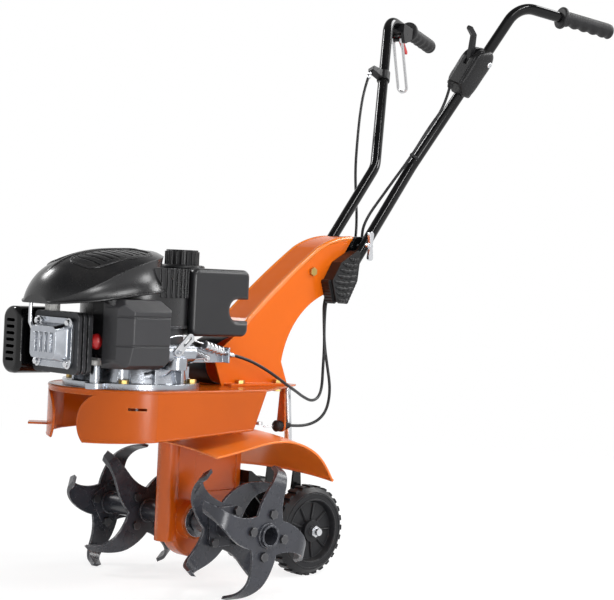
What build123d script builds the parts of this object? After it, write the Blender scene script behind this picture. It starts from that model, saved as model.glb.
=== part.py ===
"""Petrol garden tiller: vertical-shaft engine over a worm-driven tine axle.

Millimetres. +Z is up, the machine's front faces -Y, its left side is +X.
The pieces are drawn about the tine axis (y = 0 there, z = 0 on the ground) and
moved along Y at the end, so that the origin lies under the middle of the machine.
"""
import math
import os

from build123d import *

# Frame
ORIGIN_SHIFT_Y = -239.6

# Fits
RUN_GAP = 0.05
SEAT_GAP = 0.1
PART_GAP = 0.4
BOLT_GAP = 0.3

# Hexagon bolts, one size throughout
BOLT_R = 4.0
BOLT_AF = 13.0
BOLT_HEAD_H = 5.3
BOLT_NUT_H = 6.5

# Tine stars: flat plate with four blades whose outer half curls sideways
STAR_T = 5.0
STAR_PLATE_SIDE = 72.0
STAR_PLATE_R = 12.0
BLADE_STRAIGHT_R = 70.0
BLADE_CURL_R = 30.0
BLADE_CURL_DEG = 70.0
BLADE_END_L = 16.0
BLADE_ROOT_R = 24.0
BLADE_ROOT_W = 54.0
BLADE_WAIST_W = 33.0
BLADE_TIP_W = 6.0
BLADE_SWEEP = 30.0
BLADE_COUNT = 4
OUTER_STAR_TURN = -14.0
INNER_STAR_TURN = -44.0
STAR_BOLT_R = 33.0
OUTER_STAR_X = 196.0
INNER_STAR_X = 92.0

# Tine shaft, hubs and worm drive
SHAFT_R = 12.5
SHAFT_HALF_L = 150.0
HUB_R = 17.0
HUB_SIDE_GAP = 3.0
HUB_END_L = 8.0
HUB_FLANGE_SIDE = 62.0
HUB_FLANGE_T = 5.0
HUB_SOCKET_STEP = 1.5
GEAR_MODULE = 2.5
WHEEL_TEETH = 20
WORM_STARTS = 2
WORM_PITCH_R = 10.0
WORM_L = 30.0
WORM_WHEEL_W = 14.0
WORM_SHAFT_R = 7.0
GEAR_BACKLASH = 1.0
GEAR_FLANK_DEG = 20.0
GEAR_DEDENDUM = 1.2
GEAR_ADDENDUM = 0.9

# Gear case
CASE_HALF_W = 15.5
CASE_WALL = 4.0
CASE_EDGE_R = 5.0
CASE_CORNER_R = 6.0
CASE_TUBE_R = 18.0
CASE_TUBE_DROP = 33.5
CASE_BOTTOM_R = 62.0
CASE_BOTTOM_Y = 8.0
CASE_SHOULDER_DROP = 79.0
CASE_REAR_Y = 108.0
CASE_COLUMN_Y = 28.0
CASE_KNEE_LIFT = 49.5
CASE_BOSS_R = 30.0
CASE_BOSS_X = 34.0
CASE_PAD_L = 88.0
CASE_PAD_H = 60.0
CASE_PAD_DEPTH = 2.0
CASE_PAD_Y = 52.0
CASE_PAD_LIFT = 23.0
BUSH_R = 19.0
BUSH_FLANGE_R = 26.0
BUSH_FLANGE_T = 4.0
BUSH_L = 16.0
BEARING_R = 11.0
BEARING_W = 7.0

# Deck: top plate with a round skirt about the crankshaft
DECK_TOP_Z = 315.0
DECK_T = 3.0
DECK_HALF_W = 120.0
DECK_FRONT_BULGE = 7.0
DECK_SKIRT_H = 79.0
DECK_SKIRT_RISE = 17.0
DECK_SKIRT_REAR_Y = 58.0
DECK_SKIRT_RUN = 24.0
DECK_REAR_Y = 212.0
DECK_REAR_HALF_W = 26.0
SCOOP_TOP_HALF = 59.0
SCOOP_MID_HALF = 31.0
SCOOP_FOOT_HALF = 41.0
SCOOP_LIP_H = 6.0
TONGUE_OUT = 28.0
TONGUE_W = 30.0
TONGUE_DEG = -38.0
TONGUE_H = 15.0
SKIRT_SLOT_L = 28.0
SKIRT_SLOT_H = 4.0
SKIRT_SLOT_DROP = 24.0
SKIRT_SLOT_DEG = 57.0

# Mast: folded channel, open at its rear and at the foot of its front; points are (y, height over the deck)
MAST_HALF_W = 32.0
MAST_WALL = 2.5
MAST_FRONT = ((41.0, 0.0), (21.0, 49.0), (76.0, 88.0), (92.0, 109.0))
MAST_BOW = ((172.0, 177.0), (245.0, 231.0))
MAST_TOP = ((288.0, 248.0), (327.0, 253.0))
MAST_HEEL = ((274.0, 176.0), (283.0, 158.0))
MAST_WAIST = ((208.0, 116.0), (170.0, 38.0))
MAST_REAR_FOOT = (186.0, 0.0)
MAST_FOOT_W = 18.0
MAST_FOOT_T = 4.0
MAST_FOOT_YS = (46.0, 172.0)
MAST_BOLT_YS = (73.0, 155.0)
BRACKET_BOLT_Y = 232.0
BRACKET_BOLT_LIFT = 190.0

# Hood over the tines; its line is (y, height over the tine axis, slope in degrees)
HOOD_HALF_W = 140.0
HOOD_T = 2.5
HOOD_CROWN = 12.0
HOOD_LINE = (
    (-57.0, 112.4, 4.0),
    (-8.0, 120.4, 9.0),
    (40.0, 129.4, 8.0),
    (95.0, 131.4, -8.0),
    (140.0, 118.4, -30.0),
    (176.0, 91.4, -48.0),
    (194.0, 66.4, -62.0),
)

# Wheels
WHEEL_R = 75.0
WHEEL_W = 34.0
WHEEL_X = 63.0
WHEEL_HOOD_GAP = 19.4
WHEEL_LUGS = 28
WHEEL_LUG_H = 3.5
WHEEL_LUG_W = 8.5
WHEEL_HUB_R = 18.0
WHEEL_DISH = 9.0
WHEEL_DISH_R = 47.0
WHEEL_SHOULDER = 7.0
AXLE_R = 6.0
AXLE_NUT_AF = 17.0
AXLE_NUT_H = 8.0
BRACKET_T = 4.0
BRACKET_X = 30.0
BRACKET_HOOD_GAP = 3.5

# Stay rod between deck and wheel bracket
STAY_X = 18.0
STAY_R = 6.5
STAY_TOP_Y = 200.0
STAY_TOP_DROP = 15.0
STAY_FOOT_Y = 209.0
STAY_FOOT_LIFT = 130.0
STAY_PIN_R = 5.0
STAY_EYE_HALF_W = 6.0

# Engine: places forward of or behind the crankshaft, heights over the deck
CRANK_Y = -118.0
FLANGE_R = 106.0
FLANGE_T = 9.0
PILOT_R = 40.0
PILOT_H = 16.0
SUMP_H = 37.0
SUMP_TOP_R = 82.0
SUMP_RIBS = 12
SUMP_RIB_T = 6.0
BLOCK_R = 78.0
BLOCK_H = 60.0
BLOCK_RIM_T = 4.0
BARREL_R = 30.0
HEAD_FORE = 146.0
HEAD_DEPTH = 26.0
HEAD_HALF_W = 56.0
HEAD_H = 92.0
FIN_COUNT = 6
FIN_T = 3.0
FIN_PITCH = 9.0
FIN_HALF_W = 36.0
COVER_W = 64.0
COVER_H = 48.0
COVER_DEPTH = 19.0
COVER_FLANGE_T = 5.0
COVER_RIB_H = 2.5
COVER_RIBS = 4
CRANK_R = 12.5
FLYWHEEL_R = 70.0
FLYWHEEL_LIFT = 12.0
FLYWHEEL_T = 12.0
FAN_BLADES = 14
FAN_FOOT_R = 42.0
FAN_H = 16.0
ENGINE_BOLT_R = 94.0
OIL_NECK_X = 46.0
OIL_NECK_FORE = 105.0
OIL_NECK_R = 7.5
OIL_NECK_H = 35.0
PLUG_X = -30.0
PLUG_THREAD_R = 6.0
PLUG_THREAD_L = 12.0
PLUG_AF = 20.0
STAY_TAB = 14.0
STAY_ROD_R = 3.0

# Belt drive under the deck
BELT_DROP = 47.0
BELT_W = 10.0
BELT_T = 8.0
DRIVE_PULLEY_R = 22.0
DRIVEN_PULLEY_R = 42.0
PULLEY_W = 18.0
PULLEY_RIM = 3.0
PULLEY_FLARE = 1.0
IDLER_R = 18.0
IDLER_RIM = 3.0
IDLER_W = 16.0
IDLER_PIN_R = 5.0
IDLER_SHARE = 0.535
IDLER_REST_GAP = 13.3
TENSIONER_XY = (-66.0, 62.0)
TENSIONER_PIN_R = 6.0
TENSIONER_DROP = 18.0
TENSIONER_T = 5.0
TENSIONER_HALF_W = 10.0
TENSIONER_CORNER_XY = (-50.0, 124.0)
TENSIONER_TAIL_Y = 124.0

# Fuel tank and cap: places behind the crankshaft, heights over the deck
TANK_X = (-66.0, 75.0)
TANK_BACK = (56.0, 174.0)
TANK_LIFT = 81.0
TANK_H = 106.0
TANK_CORNER_R = 12.0
TANK_EDGE_R = 8.0
TANK_NOTCH_DEPTH = 22.0
TANK_NOTCH_LIFT = 42.0
TANK_NOTCH_R = 17.0
CAP_X = -8.0
CAP_BACK = 98.0
CAP_R = 28.0
CAP_LIFT = 3.0
CAP_H = 25.0
CAP_TOP_T = 12.0
NECK_R = 21.0
CAP_RIBS = 18
CAP_RIB_R = 2.5

# Air filter, primer, carburettor and muffler
FILTER_X = (72.0, 124.0)
FILTER_FORE = (114.0, 22.0)
FILTER_LIFT = 33.0
FILTER_H = 103.0
FILTER_BEVEL = 13.0
FILTER_GROOVE_LIFT = 34.0
FILTER_GROOVE_W = 2.5
FILTER_GROOVE_DEPTH = 1.5
FILTER_BASE_FORE = 108.0
FILTER_BASE_LIFT = 51.0
FILTER_BASE_H = 80.0
BULB_X = 51.0
BULB_LIFT = 71.0
BULB_R = 12.0
BULB_OUT = 12.0
BULB_TRAVEL = 5.0
CARB_X = 96.0
CARB_LIFT = 57.0
CARB_R = 14.0
CARB_BACK = 38.0
ARM_FORE = 1.0
ARM_LIFT = 2.0
ARM_L = 31.0
ARM_DEG = 43.0
ARM_PIN_R = 3.0
MUFFLER_X = (-114.0, -67.0)
MUFFLER_FORE = (166.0, 96.0)
MUFFLER_LIFT = 14.0
MUFFLER_H = 103.0
MUFFLER_CORNER_R = 20.0
MUFFLER_SLOTS = 7
MUFFLER_SLOT_L = 22.0
MUFFLER_SLOT_W = 5.0

# Top cowl; its sections are (forward of the crankshaft, rim's half-width and height over the deck,
# crease's half-width and height over the deck, crown's height over the deck)
DRUM_R = 84.0
DRUM_H = 88.0
DRUM_RIBS = 7
DRUM_RIB_DEGS = (-10.0, 32.0)
DRUM_RIB_H = 3.0
DRUM_RIB_W = 4.0
COWL_WALL = 3.0
COWL_HOLLOW_SHARE = 0.12
COWL_SECTIONS = (
    (186.0, 30.0, 126.0, 28.0, 129.0, 138.0),
    (178.0, 44.0, 127.0, 42.0, 132.0, 158.0),
    (163.0, 61.0, 129.0, 58.0, 139.0, 176.0),
    (140.0, 79.0, 132.0, 74.0, 151.0, 190.0),
    (110.0, 93.0, 137.0, 85.0, 167.0, 201.0),
    (74.0, 101.0, 143.0, 88.0, 183.0, 208.0),
    (32.0, 98.0, 149.0, 81.0, 195.0, 211.0),
    (4.0, 78.0, 152.0, 67.0, 200.0, 212.0),
    (-20.0, 46.0, 155.0, 41.0, 203.0, 211.0),
)
GRILLE_SLOTS = 8
GRILLE_SLOT_W = 5.0
GRILLE_SLOT_L = 44.0
GRILLE_PITCH = 12.0
GRILLE_FORE = 118.0
GRILLE_X = 36.0
GRILLE_DEG = 16.0

# Handlebar; heights over the deck
TUBE_R = 9.5
TUBE_WALL = 1.5
TUBE_FOOT_LIFT = 159.0
PIVOT_YH = (341.0, 238.0)
KNEE_YH = (452.0, 384.0)
CROWN_XYH = (158.0, 588.0, 678.0)
TUBE_END_XYH = (220.0, 776.0, 651.0)
KNEE_R = 60.0
CROWN_R = 48.0
GRIP_WALL = 5.0
GRIP_RIB_H = 1.5
GRIP_RIBS = 11
GRIP_L = 112.0
GRIP_END_T = 3.0
GRIP_COLLAR_H = 6.0
GRIP_COLLAR_L = 9.0
PIVOT_R = 4.0
EAR_R = 16.0
SOCKET_SIDE_GAP = 1.2
SOCKET_SKIN = 1.8
SOCKET_WALL = 2.5
SOCKET_BEAD_R = 5.0
SOCKET_BEADS = 7
SOCKET_CORNERS = (
    (-64.0, -30.0),
    (-22.0, -6.0),
    (-19.0, -16.0),
    (-24.0, -60.0),
    (-45.0, -98.0),
    (-72.0, -98.0),
    (-84.0, -62.0),
)

# Controls; points are (square to the tube, along it)
THROTTLE_AT = 0.6
THROTTLE_HALF_W = 15.0
THROTTLE_EDGE_R = 4.0
THROTTLE_BACK = ((3.0, 26.0), (3.0, -50.0))
THROTTLE_FACE = ((8.0, -56.0), (32.0, -44.0), (36.0, 8.0), (27.0, 28.0), (4.0, 40.0))
THROTTLE_PIVOT = 24.2
THROTTLE_ROOM = ((60.0, -24.0), (60.0, 90.0))
THROTTLE_ROOM_L = 60.0
THROTTLE_TIP = (56.0, 40.0)
THROTTLE_HOOK = (74.0, 44.0)
THROTTLE_LEVER_T = 8.0
THROTTLE_LEVER_PIN_R = 4.0
CLUTCH_PIVOT = (28.0, 48.0)
CLUTCH_END = (119.0, 95.0)
CLUTCH_HALF_W = 9.0
CLUTCH_WIRE_R = 2.8
CLUTCH_PIN_R = 3.5
LOCK_PIVOT = (22.0, 60.0)
LOCK_END = (42.0, 88.0)
LOCK_T = 6.0
LOCK_PIN_R = 2.5
STOP_AT = 0.58
STOP_OUT = 30.0
STOP_COLLAR_T = 2.5

# Cables
CABLE_R = 2.5
BOOT_L = 35.0
CORNER_SHARE = 0.45
THROTTLE_ROUTE = (
    (103, 480, 849), (87, 486, 808), (70, 462, 765), (52, 445, 719), (32, 402, 652),
    (12, 370, 595), (8, 372, 560), (10, 352, 520), (18, 312, 494), (24, 276, 466),
    (28, 270, 420), (30, 271, 377), (34, 266, 340), (38, 262, 312), (44, 250, 294),
    (52, 226, 288), (62, 195, 297), (76, 163, 309), (86, 137, 318), (90, 98, 338),
    (88, 60, 356), (83, 28, 366), (80, 6, 370),
)
CLUTCH_ROUTE = (
    (-116, 500, 878), (-107, 478, 845), (-97, 460, 800), (-84, 443, 748), (-74, 431, 695),
    (-63, 424, 650), (-42, 408, 610), (-18, 384, 575), (-8, 370, 545), (-2, 346, 512),
    (6, 308, 488), (14, 280, 458), (15, 282, 420), (16, 285, 380), (21, 289, 345),
    (28, 291, 311), (32, 286, 286), (35, 276, 268), (36, 262, 256), (36, 245, 249),
    (36, 226, 246), (36, 208, 246), (36, 192, 247),
)

# Places that follow from the sizes above
DECK_FRONT_R = DECK_HALF_W + DECK_FRONT_BULGE
DECK_UNDER_Z = DECK_TOP_Z - DECK_T
DECK_SKIRT_FOOT_Z = DECK_TOP_Z - DECK_SKIRT_H
BRACKET_BOLT_YZ = (BRACKET_BOLT_Y, DECK_TOP_Z + BRACKET_BOLT_LIFT)
CASE_SHOULDER_Z = DECK_TOP_Z - CASE_SHOULDER_DROP
HUB_IN_X = CASE_BOSS_X + BUSH_FLANGE_T + HUB_SIDE_GAP
HUB_OUT_X = OUTER_STAR_X + STAR_T + HUB_END_L
WORM_WHEEL_PITCH_R = GEAR_MODULE * WHEEL_TEETH / 2
WORM_Y = -(WORM_WHEEL_PITCH_R + WORM_PITCH_R)
GEAR_PITCH = math.pi * GEAR_MODULE
WORM_LEAD = GEAR_PITCH * WORM_STARTS
BELT_Z = DECK_TOP_Z - BELT_DROP
TENSIONER_Z = BELT_Z - TENSIONER_DROP
CLUTCH_WIRE_X, BOOT_REAR_Y, CLUTCH_WIRE_Z = CLUTCH_ROUTE[-1]
BOOT_FRONT_Y = BOOT_REAR_Y - BOOT_L
TENSIONER_TAIL_XY = (CLUTCH_WIRE_X, TENSIONER_TAIL_Y)
AXLE_Z = WHEEL_R
STAY_TOP_YZ = (STAY_TOP_Y, DECK_TOP_Z - STAY_TOP_DROP)
STAY_FOOT_YZ = (STAY_FOOT_Y, AXLE_Z + STAY_FOOT_LIFT)
SUMP_TOP_Z = DECK_TOP_Z + SUMP_H
BLOCK_TOP_Z = SUMP_TOP_Z + BLOCK_H
BORE_Z = SUMP_TOP_Z + BLOCK_H / 2
DRUM_TOP_Z = BLOCK_TOP_Z + DRUM_H
FLYWHEEL_Z = BLOCK_TOP_Z + FLYWHEEL_LIFT
HEAD_Y = CRANK_Y - HEAD_FORE
OIL_NECK_XY = (OIL_NECK_X, CRANK_Y - OIL_NECK_FORE)
OIL_NECK_TOP_Z = DECK_TOP_Z + OIL_NECK_H
PLUG_XY = (PLUG_X, HEAD_Y + HEAD_DEPTH / 2)
TANK_Y = (CRANK_Y + TANK_BACK[0], CRANK_Y + TANK_BACK[1])
TANK_Z = (DECK_TOP_Z + TANK_LIFT, DECK_TOP_Z + TANK_LIFT + TANK_H)
CAP_XY = (CAP_X, CRANK_Y + CAP_BACK)
CAP_Z = (TANK_Z[1] + CAP_LIFT, TANK_Z[1] + CAP_LIFT + CAP_H)
FILTER_Y = (CRANK_Y - FILTER_FORE[0], CRANK_Y - FILTER_FORE[1])
FILTER_Z = (DECK_TOP_Z + FILTER_LIFT, DECK_TOP_Z + FILTER_LIFT + FILTER_H)
FILTER_BASE_X = FIN_HALF_W + PART_GAP
FILTER_BASE_Y = CRANK_Y - FILTER_BASE_FORE
FILTER_BASE_Z = (DECK_TOP_Z + FILTER_BASE_LIFT, DECK_TOP_Z + FILTER_BASE_LIFT + FILTER_BASE_H)
CARB_Z = DECK_TOP_Z + CARB_LIFT
CARB_END_Y = CRANK_Y + CARB_BACK
ARM_PIVOT_YZ = (CRANK_Y - ARM_FORE, CARB_Z + ARM_LIFT)
MUFFLER_Y = (CRANK_Y - MUFFLER_FORE[0], CRANK_Y - MUFFLER_FORE[1])
MUFFLER_Z = (DECK_TOP_Z + MUFFLER_LIFT, DECK_TOP_Z + MUFFLER_LIFT + MUFFLER_H)
SOCKET_IN_X = MAST_HALF_W + SOCKET_SIDE_GAP
TUBE_X = SOCKET_IN_X + SOCKET_SKIN + TUBE_R
SOCKET_OUT_X = TUBE_X + TUBE_R + SOCKET_WALL
PIVOT = (TUBE_X, PIVOT_YH[0], DECK_TOP_Z + PIVOT_YH[1])
KNEE = (TUBE_X, KNEE_YH[0], DECK_TOP_Z + KNEE_YH[1])
CROWN = (CROWN_XYH[0], CROWN_XYH[1], DECK_TOP_Z + CROWN_XYH[2])
TUBE_END = (TUBE_END_XYH[0], TUBE_END_XYH[1], DECK_TOP_Z + TUBE_END_XYH[2])
TUBE_FOOT_Z = DECK_TOP_Z + TUBE_FOOT_LIFT
GRIP_R = TUBE_R + GRIP_WALL
GRIP_COLLAR_R = GRIP_R + GRIP_COLLAR_H


def bar_x(radius, x0, x1, y, z):
    """Round bar along X."""
    return Pos((x0 + x1) / 2, y, z) * Rot(0, 90, 0) * Cylinder(radius, x1 - x0)


def bar_y(radius, y0, y1, x, z):
    """Round bar along Y."""
    return Pos(x, (y0 + y1) / 2, z) * Rot(90, 0, 0) * Cylinder(radius, y1 - y0)


def bar_z(radius, z0, z1, x, y):
    """Round bar along Z."""
    return Pos(x, y, (z0 + z1) / 2) * Cylinder(radius, z1 - z0)


def block(xs, ys, zs):
    """Box between two corners, each axis given as (low, high)."""
    size = [high - low for low, high in (xs, ys, zs)]
    middle = [(high + low) / 2 for low, high in (xs, ys, zs)]
    return Pos(*middle) * Box(*size)


def slab_x(face, x0, x1):
    """Profile drawn in (y, z), carried from x0 to x1."""
    return extrude(Plane.YZ.offset(x0) * face, x1 - x0)


def slab_y(face, y0, y1):
    """Profile drawn in (x, z), carried from y0 to y1."""
    return extrude(Plane.XZ.offset(-y0) * face, -(y1 - y0))


def slab_z(face, z0, z1):
    """Profile drawn in (x, y), carried from z0 to z1."""
    return extrude(Plane.XY.offset(z0) * face, z1 - z0)


def polygon(*points):
    """Flat face with straight sides through the points."""
    return make_face(Polyline(*points, close=True))


def link(start, end, start_r, end_r):
    """Flat bar outline with round ends."""
    return make_hull((Pos(*start) * Circle(start_r) + Pos(*end) * Circle(end_r)).edges())


def other_side(shape):
    """The same piece on the machine's right side."""
    return mirror(shape, about=Plane.YZ)


def swept(section, path):
    """Section carried square to a path from its start."""
    return sweep(Plane(origin=path @ 0, z_dir=path % 0) * section, path=path)


def hexagon(across_flats):
    """Hexagon face for a bolt head or a nut."""
    return RegularPolygon(across_flats / 2, 6, major_radius=False)


def bolt(grip):
    """Hexagon bolt along -Z from z = 0 under its head, with its nut."""
    head = extrude(hexagon(BOLT_AF), BOLT_HEAD_H)
    shank = bar_z(BOLT_R, -grip - BOLT_NUT_H, 0, 0, 0)
    nut = Pos(0, 0, -grip - BOLT_NUT_H) * extrude(hexagon(BOLT_AF), BOLT_NUT_H)
    return head + shank + nut


def bolt_hole(low, high, x, y):
    """Clearance hole for a bolt along Z."""
    return bar_z(BOLT_R + BOLT_GAP, low, high, x, y)


def tine_star():
    """Plate with four blades that curl towards -X, pointing up first."""
    curl = math.radians(BLADE_CURL_DEG)
    centre = (-BLADE_CURL_R, BLADE_STRAIGHT_R)

    def on_curl(radius, angle):
        return (centre[0] + radius * math.cos(angle), centre[1] + radius * math.sin(angle))

    outer = BLADE_CURL_R + STAR_T
    end_step = (-BLADE_END_L * math.sin(curl), BLADE_END_L * math.cos(curl))
    outer_end = on_curl(outer, curl)
    inner_end = on_curl(BLADE_CURL_R, curl)
    outer_tip = (outer_end[0] + end_step[0], outer_end[1] + end_step[1])
    inner_tip = (inner_end[0] + end_step[0], inner_end[1] + end_step[1])
    bent = make_face([
        Line((0, BLADE_ROOT_R), (STAR_T, BLADE_ROOT_R)),
        Line((STAR_T, BLADE_ROOT_R), (STAR_T, BLADE_STRAIGHT_R)),
        ThreePointArc((STAR_T, BLADE_STRAIGHT_R), on_curl(outer, curl / 2), outer_end),
        Line(outer_end, outer_tip),
        Line(outer_tip, inner_tip),
        Line(inner_tip, inner_end),
        ThreePointArc(inner_end, on_curl(BLADE_CURL_R, curl / 2), (0, BLADE_STRAIGHT_R)),
        Line((0, BLADE_STRAIGHT_R), (0, BLADE_ROOT_R)),
    ])
    strip = slab_y(bent, -BLADE_ROOT_W, BLADE_ROOT_W)

    tip_r = outer_tip[1] + STAR_T
    lead_tip = (BLADE_SWEEP - BLADE_TIP_W / 2, tip_r)
    trail_tip = (BLADE_SWEEP + BLADE_TIP_W / 2, tip_r)
    root = BLADE_ROOT_W / 2
    waist = BLADE_WAIST_W / 2
    outline = make_face([
        Line((root, BLADE_ROOT_R), (-root, BLADE_ROOT_R)),
        ThreePointArc((-root, BLADE_ROOT_R), (-waist, BLADE_STRAIGHT_R), lead_tip),
        Line(lead_tip, trail_tip),
        ThreePointArc(trail_tip, (waist, BLADE_STRAIGHT_R), (root, BLADE_ROOT_R)),
    ])
    reach = BLADE_CURL_R + BLADE_END_L + STAR_T
    blade = strip & slab_x(outline, -reach, reach)

    square = RectangleRounded(STAR_PLATE_SIDE, STAR_PLATE_SIDE, STAR_PLATE_R)
    star = slab_x(Rot(0, 0, 45) * square, 0, STAR_T)
    hole = bar_x(BOLT_R + BOLT_GAP, -STAR_T, 2 * STAR_T, 0, STAR_BOLT_R)
    turns = [Rot(index * 360 / BLADE_COUNT, 0, 0) for index in range(BLADE_COUNT)]
    for turn in turns:
        star += turn * blade
    for turn in turns:
        star -= turn * hole
    return star - bar_x(HUB_R + SEAT_GAP, -STAR_T, 2 * STAR_T, 0, 0)


def wheel_y():
    """How far back the wheels sit, so that they clear the hood's rear edge."""
    edge_y, edge_z = HOOD_LINE[-1][0], TINE_AXIS_Z + HOOD_LINE[-1][1]
    reach = (WHEEL_R + WHEEL_HOOD_GAP) ** 2 - (edge_z - AXLE_Z) ** 2
    return edge_y + math.sqrt(max(reach, 0.0))


def idler_xy():
    """Place of the idler at rest: part of the way along the belt's right run, clear of its back."""
    lean = (DRIVEN_PULLEY_R - DRIVE_PULLEY_R) / (WORM_Y - CRANK_Y)
    square = Vector(-math.sqrt(1 - lean**2), -lean)
    front = Vector(0, CRANK_Y) + square * DRIVE_PULLEY_R
    back = Vector(0, WORM_Y) + square * DRIVEN_PULLEY_R
    spot = front + (back - front) * IDLER_SHARE + square * (BELT_T / 2 + IDLER_R + IDLER_REST_GAP)
    return (spot.X, spot.Y)


STAR = tine_star()
OUTER_STAR = Rot(OUTER_STAR_TURN, 0, 0) * STAR
TINE_AXIS_Z = -OUTER_STAR.bounding_box().min.Z
CASE_TUBE_FOOT_Z = TINE_AXIS_Z - CASE_TUBE_DROP
CASE_KNEE_Z = TINE_AXIS_Z + CASE_KNEE_LIFT
CASE_PAD_YZ = (CASE_PAD_Y, CASE_KNEE_Z + CASE_PAD_LIFT)
WHEEL_Y = wheel_y()
IDLER_XY = idler_xy()
CRANK_AXIS = Pos(0, CRANK_Y, 0)
UP = Vector(0, 0, 1)
FRONT = Vector(0, -1, 0)


def on_axis(shape):
    """Lift a piece drawn about the origin to the tine axis."""
    return Pos(0, 0, TINE_AXIS_Z) * shape


def tine_pieces():
    """Stars, hubs, their bolts, the shaft and the worm wheel."""
    inner_star = mirror(Rot(INNER_STAR_TURN, 0, 0) * STAR, about=Plane.YZ.offset(STAR_T / 2))
    left_outer = Pos(OUTER_STAR_X, 0, 0) * OUTER_STAR
    left_inner = Pos(INNER_STAR_X, 0, 0) * inner_star

    hub = bar_x(HUB_R, HUB_IN_X, HUB_OUT_X, 0, 0)
    flange = RectangleRounded(HUB_FLANGE_SIDE, HUB_FLANGE_SIDE, STAR_PLATE_R)
    outer_flange = slab_x(Rot(0, 0, 45) * flange, OUTER_STAR_X - HUB_FLANGE_T, OUTER_STAR_X)
    inner_seat = INNER_STAR_X + STAR_T
    inner_flange = slab_x(Rot(0, 0, 45) * flange, inner_seat, inner_seat + HUB_FLANGE_T)
    hub += Rot(OUTER_STAR_TURN, 0, 0) * outer_flange
    hub += Rot(INNER_STAR_TURN, 0, 0) * inner_flange
    hub -= bar_x(SHAFT_R + SEAT_GAP, HUB_IN_X - HUB_R, HUB_OUT_X, 0, 0)
    hub -= bar_x(SHAFT_R + HUB_SOCKET_STEP, SHAFT_HALF_L, HUB_OUT_X, 0, 0)

    stack = STAR_T + HUB_FLANGE_T
    one_bolt = bolt(stack)
    hole = bar_x(BOLT_R + BOLT_GAP, -2 * stack, 2 * stack, 0, 0)
    placed = (
        (OUTER_STAR_X + STAR_T, OUTER_STAR_TURN, Rot(0, 90, 0) * one_bolt),
        (INNER_STAR_X, INNER_STAR_TURN, Rot(0, -90, 0) * one_bolt),
    )
    bolts = []
    for x, turn, one in placed:
        for index in range(BLADE_COUNT):
            spot = Pos(x, 0, 0) * Rot(turn + index * 360 / BLADE_COUNT, 0, 0) * Pos(0, 0, STAR_BOLT_R)
            bolts.append(on_axis(spot * one))
            hub -= spot * hole
    bolts += [other_side(one) for one in bolts]
    return {
        "left_outer_tines": on_axis(left_outer),
        "left_inner_tines": on_axis(left_inner),
        "right_inner_tines": on_axis(other_side(left_inner)),
        "right_outer_tines": on_axis(other_side(left_outer)),
        "left_tine_hub": on_axis(hub),
        "right_tine_hub": on_axis(other_side(hub)),
        "tine_bolts": Compound(bolts),
        "tine_shaft": bar_x(SHAFT_R, -SHAFT_HALF_L, SHAFT_HALF_L, 0, TINE_AXIS_Z),
        "worm_wheel": on_axis(worm_wheel()),
    }


def tooth_halves(root_depth, tip_height):
    """Half-thickness of a tooth at its root and at its tip, with the backlash taken off."""
    half = GEAR_PITCH / 4 - GEAR_BACKLASH / 2
    flank = math.tan(math.radians(GEAR_FLANK_DEG))
    return half + root_depth * flank, half - tip_height * flank


def worm_wheel():
    """Gear on the tine shaft, one tooth facing the worm (-Y)."""
    deep = GEAR_DEDENDUM * GEAR_MODULE
    high = GEAR_ADDENDUM * GEAR_MODULE
    root_r = WORM_WHEEL_PITCH_R - deep
    tip_r = WORM_WHEEL_PITCH_R + high
    foot_half, tip_half = tooth_halves(deep, high)
    foot = root_r - high
    face = polygon((-foot, -foot_half), (-tip_r, -tip_half), (-tip_r, tip_half), (-foot, foot_half))
    lead_deg = math.degrees(math.atan(WORM_LEAD / (2 * math.pi * WORM_PITCH_R)))
    half_w = WORM_WHEEL_W / 2
    tooth = Rot(0, lead_deg, 0) * slab_x(face, -half_w, half_w)
    wheel = bar_x(root_r, -half_w, half_w, 0, 0)
    for index in range(WHEEL_TEETH):
        wheel += Rot(index * 360 / WHEEL_TEETH, 0, 0) * tooth
    wheel &= bar_x(2 * tip_r, -half_w, half_w, 0, 0)
    return wheel - bar_x(SHAFT_R + SEAT_GAP, -WORM_WHEEL_W, WORM_WHEEL_W, 0, 0)


def worm_thread():
    """One start of the worm's thread, about Z, crossing +Y half a pitch above z = 0."""
    deep = GEAR_DEDENDUM * GEAR_MODULE
    high = GEAR_ADDENDUM * GEAR_MODULE
    foot_half, tip_half = tooth_halves(deep, high)
    path = Helix(pitch=WORM_LEAD, height=WORM_L, radius=WORM_PITCH_R)
    start = Plane(origin=path @ 0, x_dir=(1, 0, 0), z_dir=(0, -1, 0))
    foot = -deep - high / 2
    profile = polygon((foot, -foot_half), (high, -tip_half), (high, tip_half), (foot, foot_half))
    thread = sweep(start * profile, path=path, is_frenet=True)
    to_front = (WORM_L / 2 + GEAR_PITCH / 2) / WORM_LEAD * 360
    return Rot(0, 0, 90 - to_front) * Pos(0, 0, -WORM_L / 2) * thread


def pulley(groove_r, bore_r):
    """Grooved wheel about Z at the belt's height."""
    rim = groove_r + BELT_T / 2 + PULLEY_RIM
    low = groove_r - BELT_T / 2 - PART_GAP
    half_w = PULLEY_W / 2
    side = BELT_W / 2 + PART_GAP
    profile = polygon(
        (bore_r, -half_w), (rim, -half_w), (rim, -side - PULLEY_FLARE), (low, -side),
        (low, side), (rim, side + PULLEY_FLARE), (rim, half_w), (bore_r, half_w),
    )
    return Pos(0, 0, BELT_Z) * revolve(Plane.XZ * profile, Axis.Z)


def belt_loop(extra):
    """Plan of the belt's run round both pulleys, moved outwards by extra."""
    return link((0, CRANK_Y), (0, WORM_Y), DRIVE_PULLEY_R + extra, DRIVEN_PULLEY_R + extra)


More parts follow.
